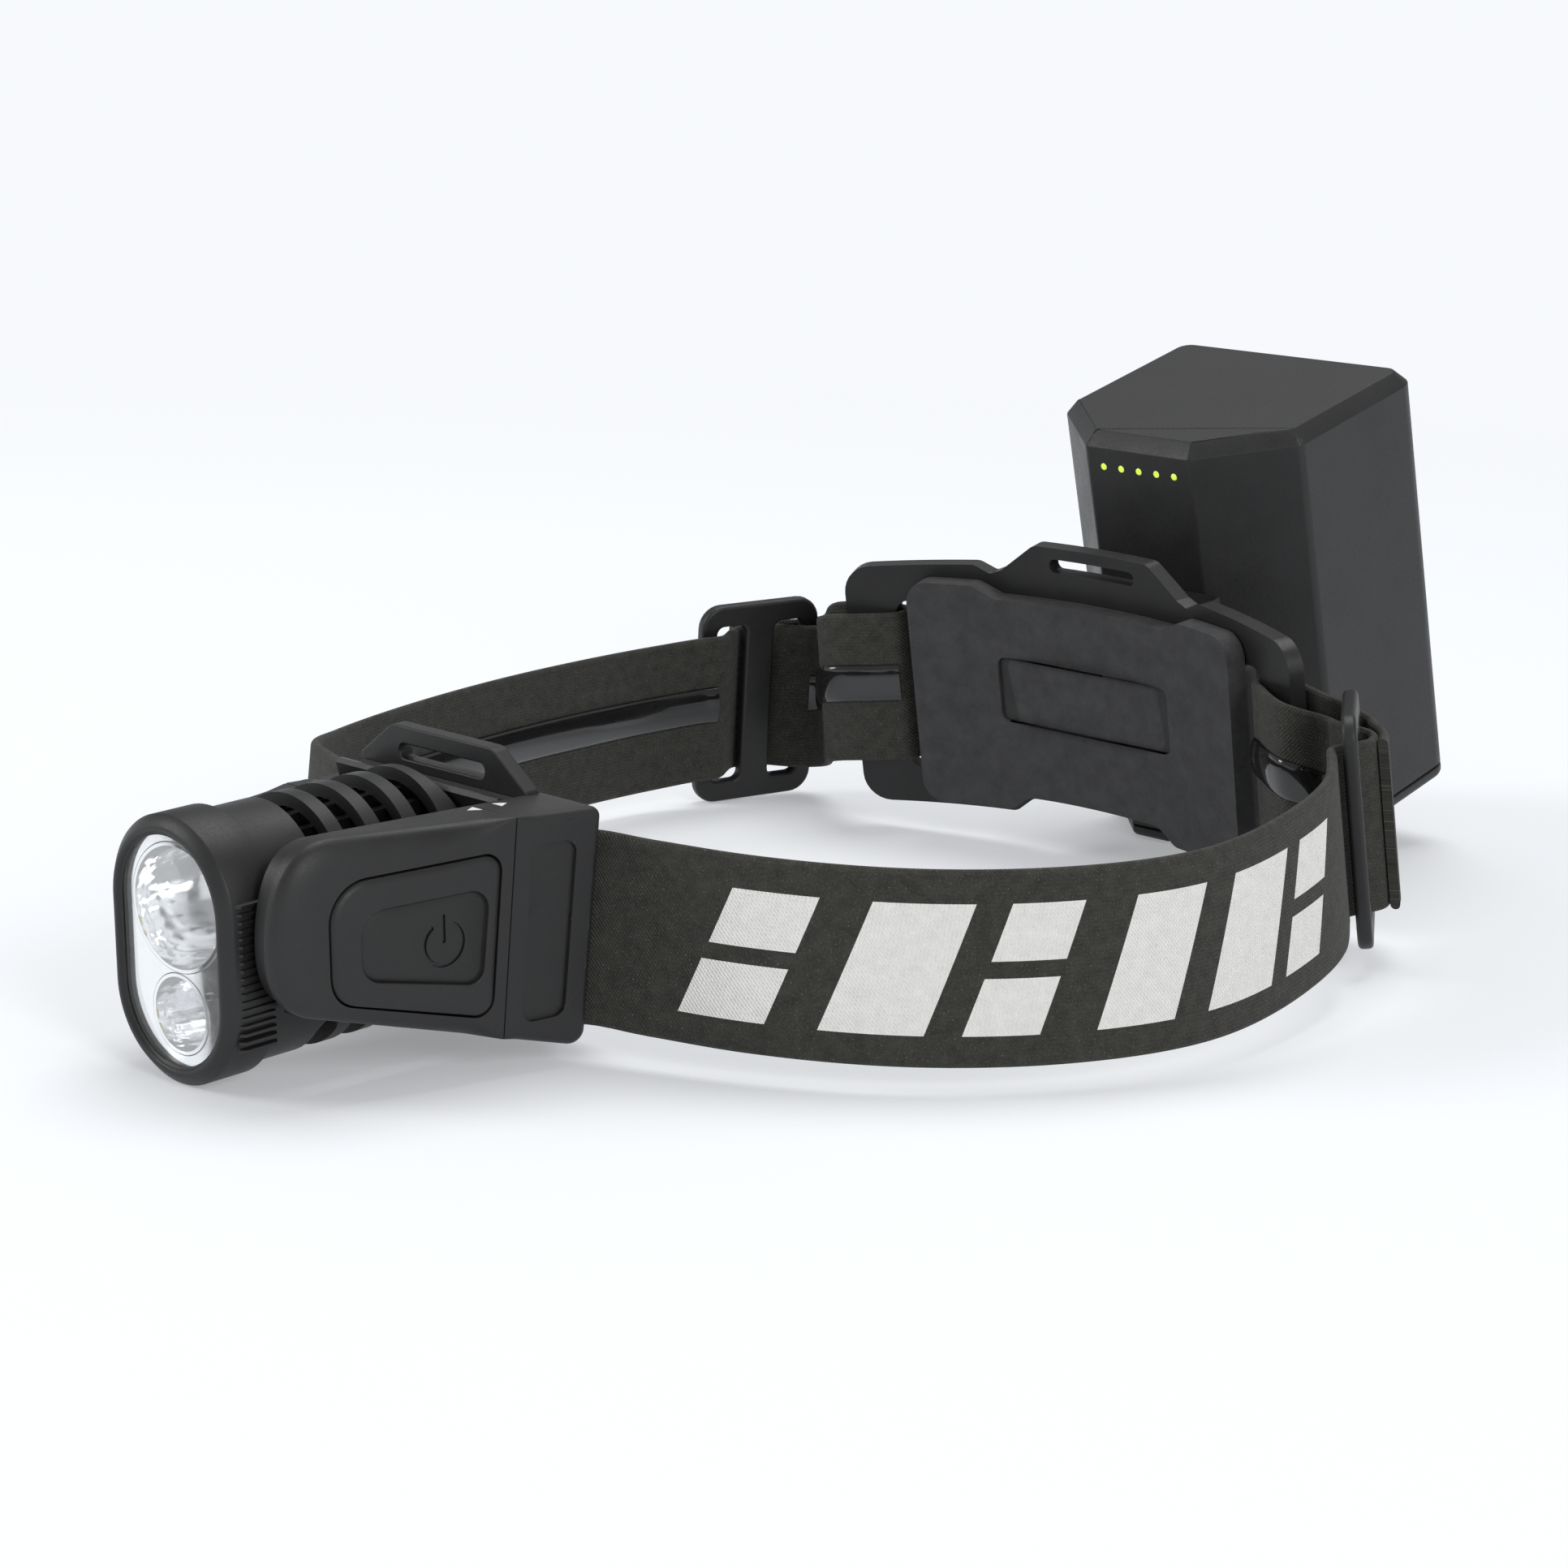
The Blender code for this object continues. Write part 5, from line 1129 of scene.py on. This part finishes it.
# %% [markdown]
# ## Rear plate and its pad
# The rear plate is a flat outline wrapped on a cylinder about the head: the point (u, w) at radius R goes
# to (R sin(u / R0), R cos(u / R0) - R0, w). The pad follows the same bend with a softer edge.

# %% Rear plate
PLATE_HALF, PLATE_TALL = 54.5, 24.3


def wrap(outline, radius):
    """(R sin a, R cos a - R0, w) with a = u / R0, then seated on the head's back."""
    outline = np.asarray(outline, float)
    a = outline[:, 0] / PLATE_RADIUS
    radius = np.broadcast_to(radius, a.shape)
    local = np.stack([radius * np.sin(a), radius * np.cos(a) - PLATE_RADIUS, outline[:, 1]], -1)
    return seated(local, PLATE_CENTRE, PLATE_LEAN)


def grid_slab(name, outline, inner, outer, holes, material, edge, step=3.0):
    """Flat stock cut by holes, then wrapped: a fine grid keeps the bend smooth."""
    low, high = outline.min(0) - 1.0, outline.max(0) + 1.0
    u = np.linspace(low[0], high[0], int((high[0] - low[0]) / step))
    rings = []
    for value in u:
        rings.append([(value, inner, low[1]), (value, outer, low[1]), (value, outer, high[1]),
                      (value, inner, high[1])])
    flat = loft(name, rings, to_scene=lambda points: np.asarray(points, float) * MM)
    keep = loft("keep", push("y", outline, inner - 5, outer + 5), to_scene=lambda p: np.asarray(p, float) * MM)
    carve(flat, [keep], "INTERSECT")
    carve(flat, [loft("hole", push("y", hole, start, stop), to_scene=lambda p: np.asarray(p, float) * MM)
                 for hole, start, stop in holes])
    mesh = flat.data
    points = np.empty(len(mesh.vertices) * 3, np.float32)
    mesh.vertices.foreach_get("co", points)
    points = points.reshape(-1, 3).astype(float) / MM
    bent = wrap(points[:, [0, 2]], PLATE_RADIUS + points[:, 1])
    mesh.vertices.foreach_set("co", place(bent).astype(np.float32).ravel())
    mesh.update()
    mesh.materials.append(material)
    round_edges(flat, edge)
    return flat


w_top = PLATE_TALL
plate_corners = [(18.0, -w_top + 3.0, 2.0), (22.0, -w_top, 3.0), (PLATE_HALF, -w_top, 5.5),
                 (PLATE_HALF, w_top - 0.8, 5.5), (27.0, w_top + 0.8, 3.0), (23.5, w_top - 0.8, 1.2),
                 (21.0, w_top + 0.2, 1.0), (13.5, w_top + 5.7, 3.0)]
mirror_corners = [(-u, w, r) for u, w, r in plate_corners[::-1]]
plate_outline = rounded_outline(plate_corners + mirror_corners, 8)
slot_half = (LUG_SLOT_OUT - LUG_SLOT_IN) / 2
slot_mid = (LUG_SLOT_OUT + LUG_SLOT_IN) / 2
holes = [rectangle(slot_half, STRAP_WIDTH / 2 + 2.0, 2.5, (sign * slot_mid, 0.0)) for sign in (1, -1)]
holes.append(rectangle(10.0, 1.3, 1.2, (0.0, w_top + 2.2)))
half = PLATE_THICKNESS / 2
holes = [(hole, -9.0, 9.0) for hole in holes]
rear = grid_slab("rear_plate_skin", plate_outline, -half, half, holes, PAINT["shell"], 0.7)
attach(rear, BRACKET)
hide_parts("rear_plate")

# %% Rear pad
PAD_HALF, PAD_THICK, PAD_INSET = 40.2, 3.8, 2.0
edge_w = PLATE_TALL - PAD_INSET
pad_corners = [(16.0, -edge_w + 3.0, 3.0), (20.5, -edge_w, 3.0), (PAD_HALF, -edge_w, 4.5), (PAD_HALF, edge_w, 4.5),
               (25.5, edge_w, 2.0), (20.5, edge_w - 2.2, 2.0)]
pad_outline = rounded_outline(pad_corners + [(-u, w, r) for u, w, r in pad_corners[::-1]], 8)
pad_back = -half - 0.3
WINDOW_HALF, WINDOW_LOW, WINDOW_HIGH, WINDOW_DEPTH = 21.0, -4.2, 8.6, 0.9
window = rectangle(WINDOW_HALF, (WINDOW_HIGH - WINDOW_LOW) / 2, 1.6, (0.0, (WINDOW_HIGH + WINDOW_LOW) / 2), 8)


window_low = pad_back - PAD_THICK - 5.0
pad = grid_slab("rear_cushion", pad_outline, pad_back - PAD_THICK, pad_back,
                [(window, window_low, pad_back - PAD_THICK + WINDOW_DEPTH)], PAINT["pad"], 0.9)
panel_back = pad_back - PAD_THICK + WINDOW_DEPTH
window_panel = grid_slab("rear_cushion_panel", inset(window, 0.25), panel_back - 0.3, panel_back + 0.1, [],
                         PAINT["window"], 0.05)
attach(window_panel, BRACKET)
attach(pad, BRACKET)
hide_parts("rear_pad")
print("rear plate and cushion")

# %% [markdown]
# ## Battery pack
# The case is a box whose two front corners are cut by large flats. Rings of the same plan, drawn in at the
# top and the bottom, round its edges. Five small light pipes show the charge near the top of its front.

# %% Battery case and base
PACK_CENTRE = np.array([0.0, 117.5, 41.6])
PACK_W, PACK_D, PACK_H = 55.3, 51.4, 84.0
RAIL_STEP, RAIL_HIGH = 1.8, -2.0


def seat_pack(points):
    return place(seated(points, PACK_CENTRE, PACK_LEAN))


flat, run_back = 23.9 / 2, 13.8
front, back_v = -PACK_D / 2, PACK_D / 2
PACK_PLAN = [(flat, front, 1.6), (PACK_W / 2, front + run_back, 2.2), (PACK_W / 2, back_v, 5.0)]
pack_plan = rounded_outline(PACK_PLAN + [(-u, v, r) for u, v, r in PACK_PLAN[::-1]], 10)


def pack_rings(levels):
    """levels holds (height, inset) pairs."""
    return np.stack([across("z", inset(pack_plan, k), w) for w, k in levels])


def edge_levels(start, direction, radius, steps=7):
    """A quarter round: height start + direction r sin(p), inset r (1 - cos(p))."""
    p = np.radians(np.linspace(0.0, 90.0, steps))
    return [(start + direction * radius * math.sin(q), radius * (1 - math.cos(q))) for q in p]


top = PACK_H / 2
split = -top + 2.5
TOP_CHAMFER = [(top - 2.75, 0.0), (top - 2.45, 0.1), (top - 0.15, 2.35), (top, 2.7)]
case = loft("battery_case_skin", pack_rings([(split + 0.3, 0.25), (split + 0.45, 0.0)]
                                            + TOP_CHAMFER), to_scene=seat_pack)
base = loft("battery_base_skin", pack_rings([(split, 0.25), (split - 0.15, 0.0)]
                                            + edge_levels(-top + 1.5, -1, 1.4)), to_scene=seat_pack)
neck, head = 3.5 + 0.5, 6.0 + 0.5
step_v, tip_v, root_v = front + RAIL_STEP - 0.4, front + 2 * RAIL_STEP + 0.5, front - 3.0
groove = np.array([(-neck, root_v), (neck, root_v), (neck, step_v), (head, step_v), (head, tip_v), (-head, tip_v),
                   (-head, step_v), (-neck, step_v)])
carve(case, [solid("groove", "z", groove, -top - 5, RAIL_HIGH + 0.5, seat_pack)])
carve(base, [solid("groove", "z", groove, -top - 5, top, seat_pack),
             solid("port", "z", rectangle(4.8, 1.95, 1.5, (0.0, front + 9.7)), -top - 5, top, seat_pack)])
LED_W, LED_PITCH = top - 6.3, 4.1
lights = [(index - 2) * LED_PITCH for index in range(5)]
carve(case, [solid("pipe", "y", arc((u, LED_W), 0.72, 0, 360, 33)[:-1], front - 2, front + 2.0, seat_pack)
             for u in lights])
carve(case, [solid("contact", "y", arc((u, RAIL_HIGH - 6.0), 1.9, 0, 360, 33)[:-1], front - 2, front + 1.0, seat_pack)
             for u in (9.4, -9.4)])
for piece, node_name in ((case, "battery_case"), (base, "battery_base")):
    piece.data.materials.append(PAINT["pack"])
    round_edges(piece, 0.3, angle=50.0)
    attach(piece, PACK)
    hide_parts(node_name)
for number, u in enumerate(lights):
    rings = [across("y", arc((u, LED_W), 0.66, 0, 360, 33)[:-1], front + 1.7),
             across("y", arc((u, LED_W), 0.66, 0, 360, 33)[:-1], front + 0.05),
             across("y", arc((u, LED_W), 0.5, 0, 360, 33)[:-1], front - 0.1)]
    pipe = loft(f"light_pipe_{number + 1}", rings, PACK, PAINT["indicator"], to_scene=seat_pack)
    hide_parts(f"indicator_{number + 1}")

flap_plan = rectangle(7.5, 5.6, 2.0, (0.0, front + 9.7), 8)
flap = loft("port_cover_skin", [across("z", inset(flap_plan, k), -top - 0.3 - d)
                                for k, d in ((0.25, 0.0), (0.0, 0.2), (0.0, 0.7), (0.2, 0.9))],
            COVER, PAINT["rubber"], to_scene=seat_pack)
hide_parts("port_cover")
print("battery pack")

# %% [markdown]
# ## Floor, light and camera
# The floor is a round sheet of white paper with a raised rim. Three soft lamps, a large one overhead and
# two in front, give short soft shadows. The camera stands in front, to the lamp's button side.

# %% Stage
PAPER = (0.930, 0.947, 0.973)
LIT, GLOW = 0.66, 0.30  # near the lamp, how much of the paper's brightness is lit and how much is its own


def paper_material():
    """White paper that is lit near the object and fades to an even glow by a metre away."""
    made, tree, shader = new_material("floor_paper")
    point = object_coordinates(tree)
    length = tree.nodes.new("ShaderNodeVectorMath")
    length.operation = "LENGTH"
    tree.links.new(point, length.inputs[0])
    far = ranged(tree, length.outputs["Value"], 0.40, 1.0, 0.0, 1.0, True)
    grain = noise(tree, point, 400.0, 2.0)
    shade = mix_colour(tree, grain, tuple(c * LIT * 0.99 for c in PAPER), tuple(c * LIT for c in PAPER))
    tree.links.new(mix_colour(tree, far, shade, (0.0, 0.0, 0.0)), shader.inputs["Base Color"])
    tree.links.new(mix_colour(tree, far, tuple(c * GLOW for c in PAPER), PAPER), shader.inputs["Emission Color"])
    shader.inputs["Emission Strength"].default_value = 1.0
    shader.inputs["Roughness"].default_value = 0.9
    shader.inputs["Specular IOR Level"].default_value = 0.0
    return made


def backdrop():
    """A flat round sheet of paper whose rim turns up: ring k has radius r_k and height h_k."""
    radii = np.array([0.05, 3.0, 3.4, 3.6, 3.7])
    heights = np.array([0.0, 0.0, 0.08, 0.3, 0.75])
    rings = np.stack([np.insert(arc((0.0, 0.0), r, 0, 360, 97)[:-1], 2, h, axis=1) for r, h in zip(radii, heights)])
    points = np.concatenate([rings.reshape(-1, 3), [[0.0, 0.0, 0.0]]])
    i, j = np.arange(len(radii) - 1)[:, None] * 96, np.arange(96)[None, :]
    quads = np.stack([i + j, i + 96 + j, i + 96 + (j + 1) % 96, i + (j + 1) % 96], -1).reshape(-1, 4)
    hub = np.stack([j[0] * 0 + len(points) - 1, j[0], (j[0] + 1) % 96], -1)
    mesh = bpy.data.meshes.new("floor")
    mesh.from_pydata(points, [], quads.tolist() + hub.tolist())
    mesh.materials.append(paper_material())
    floor = bpy.data.objects.new("floor", mesh)
    bpy.context.scene.collection.objects.link(floor)


CAMERA_AT = (0.41012, -0.46111, 0.16124)
CAMERA_AZIMUTH, CAMERA_ELEVATION, CAMERA_ROLL, CAMERA_LENS = 42.86, 12.37, 2.269, 84.09


def add_camera():
    """Rotation columns: right and up turned by the roll about the backward axis b."""
    az, el, roll = (math.radians(v) for v in (CAMERA_AZIMUTH, CAMERA_ELEVATION, CAMERA_ROLL))
    back = np.array([math.sin(az) * math.cos(el), -math.cos(az) * math.cos(el), math.sin(el)])
    right = np.array([math.cos(az), math.sin(az), 0.0])
    up = np.cross(back, right)
    right, up = right * math.cos(roll) + up * math.sin(roll), -right * math.sin(roll) + up * math.cos(roll)
    data = bpy.data.cameras.new("camera")
    data.lens = CAMERA_LENS
    data.sensor_width = 36.0
    camera = bpy.data.objects.new("camera", data)
    camera.matrix_world = Matrix.Translation(CAMERA_AT) @ Matrix(np.stack([right, up, back], 1).tolist()).to_4x4()
    bpy.context.scene.collection.objects.link(camera)
    bpy.context.scene.camera = camera


def add_area(name, at, target, size, power, colour=(1.0, 1.0, 1.0)):
    data = bpy.data.lights.new(name, "AREA")
    data.shape = "DISK"
    data.size = size
    data.energy = power
    data.color = colour
    lamp = bpy.data.objects.new(name, data)
    lamp.location = at
    lamp.rotation_euler = (Vector(target) - Vector(at)).to_track_quat("-Z", "Y").to_euler()
    bpy.context.scene.collection.objects.link(lamp)


backdrop()
add_camera()
add_area("overhead", (-0.3, 0.5, 2.2), (0.0, 0.0, 0.0), 1.5, 26.0)
add_area("left_front", (-1.2, -1.5, 1.1), (0.0, 0.0, 0.04), 0.9, 16.0)
add_area("right_front", (1.7, -0.6, 0.9), (0.0, 0.0, 0.04), 0.7, 13.0)
world = bpy.data.worlds.new("studio")
bpy.context.scene.world = world
world.use_nodes = True
world.node_tree.nodes["Background"].inputs["Color"].default_value = (*PAPER, 1.0)
world.node_tree.nodes["Background"].inputs["Strength"].default_value = 0.42
bpy.context.scene.view_settings.view_transform = "Standard"
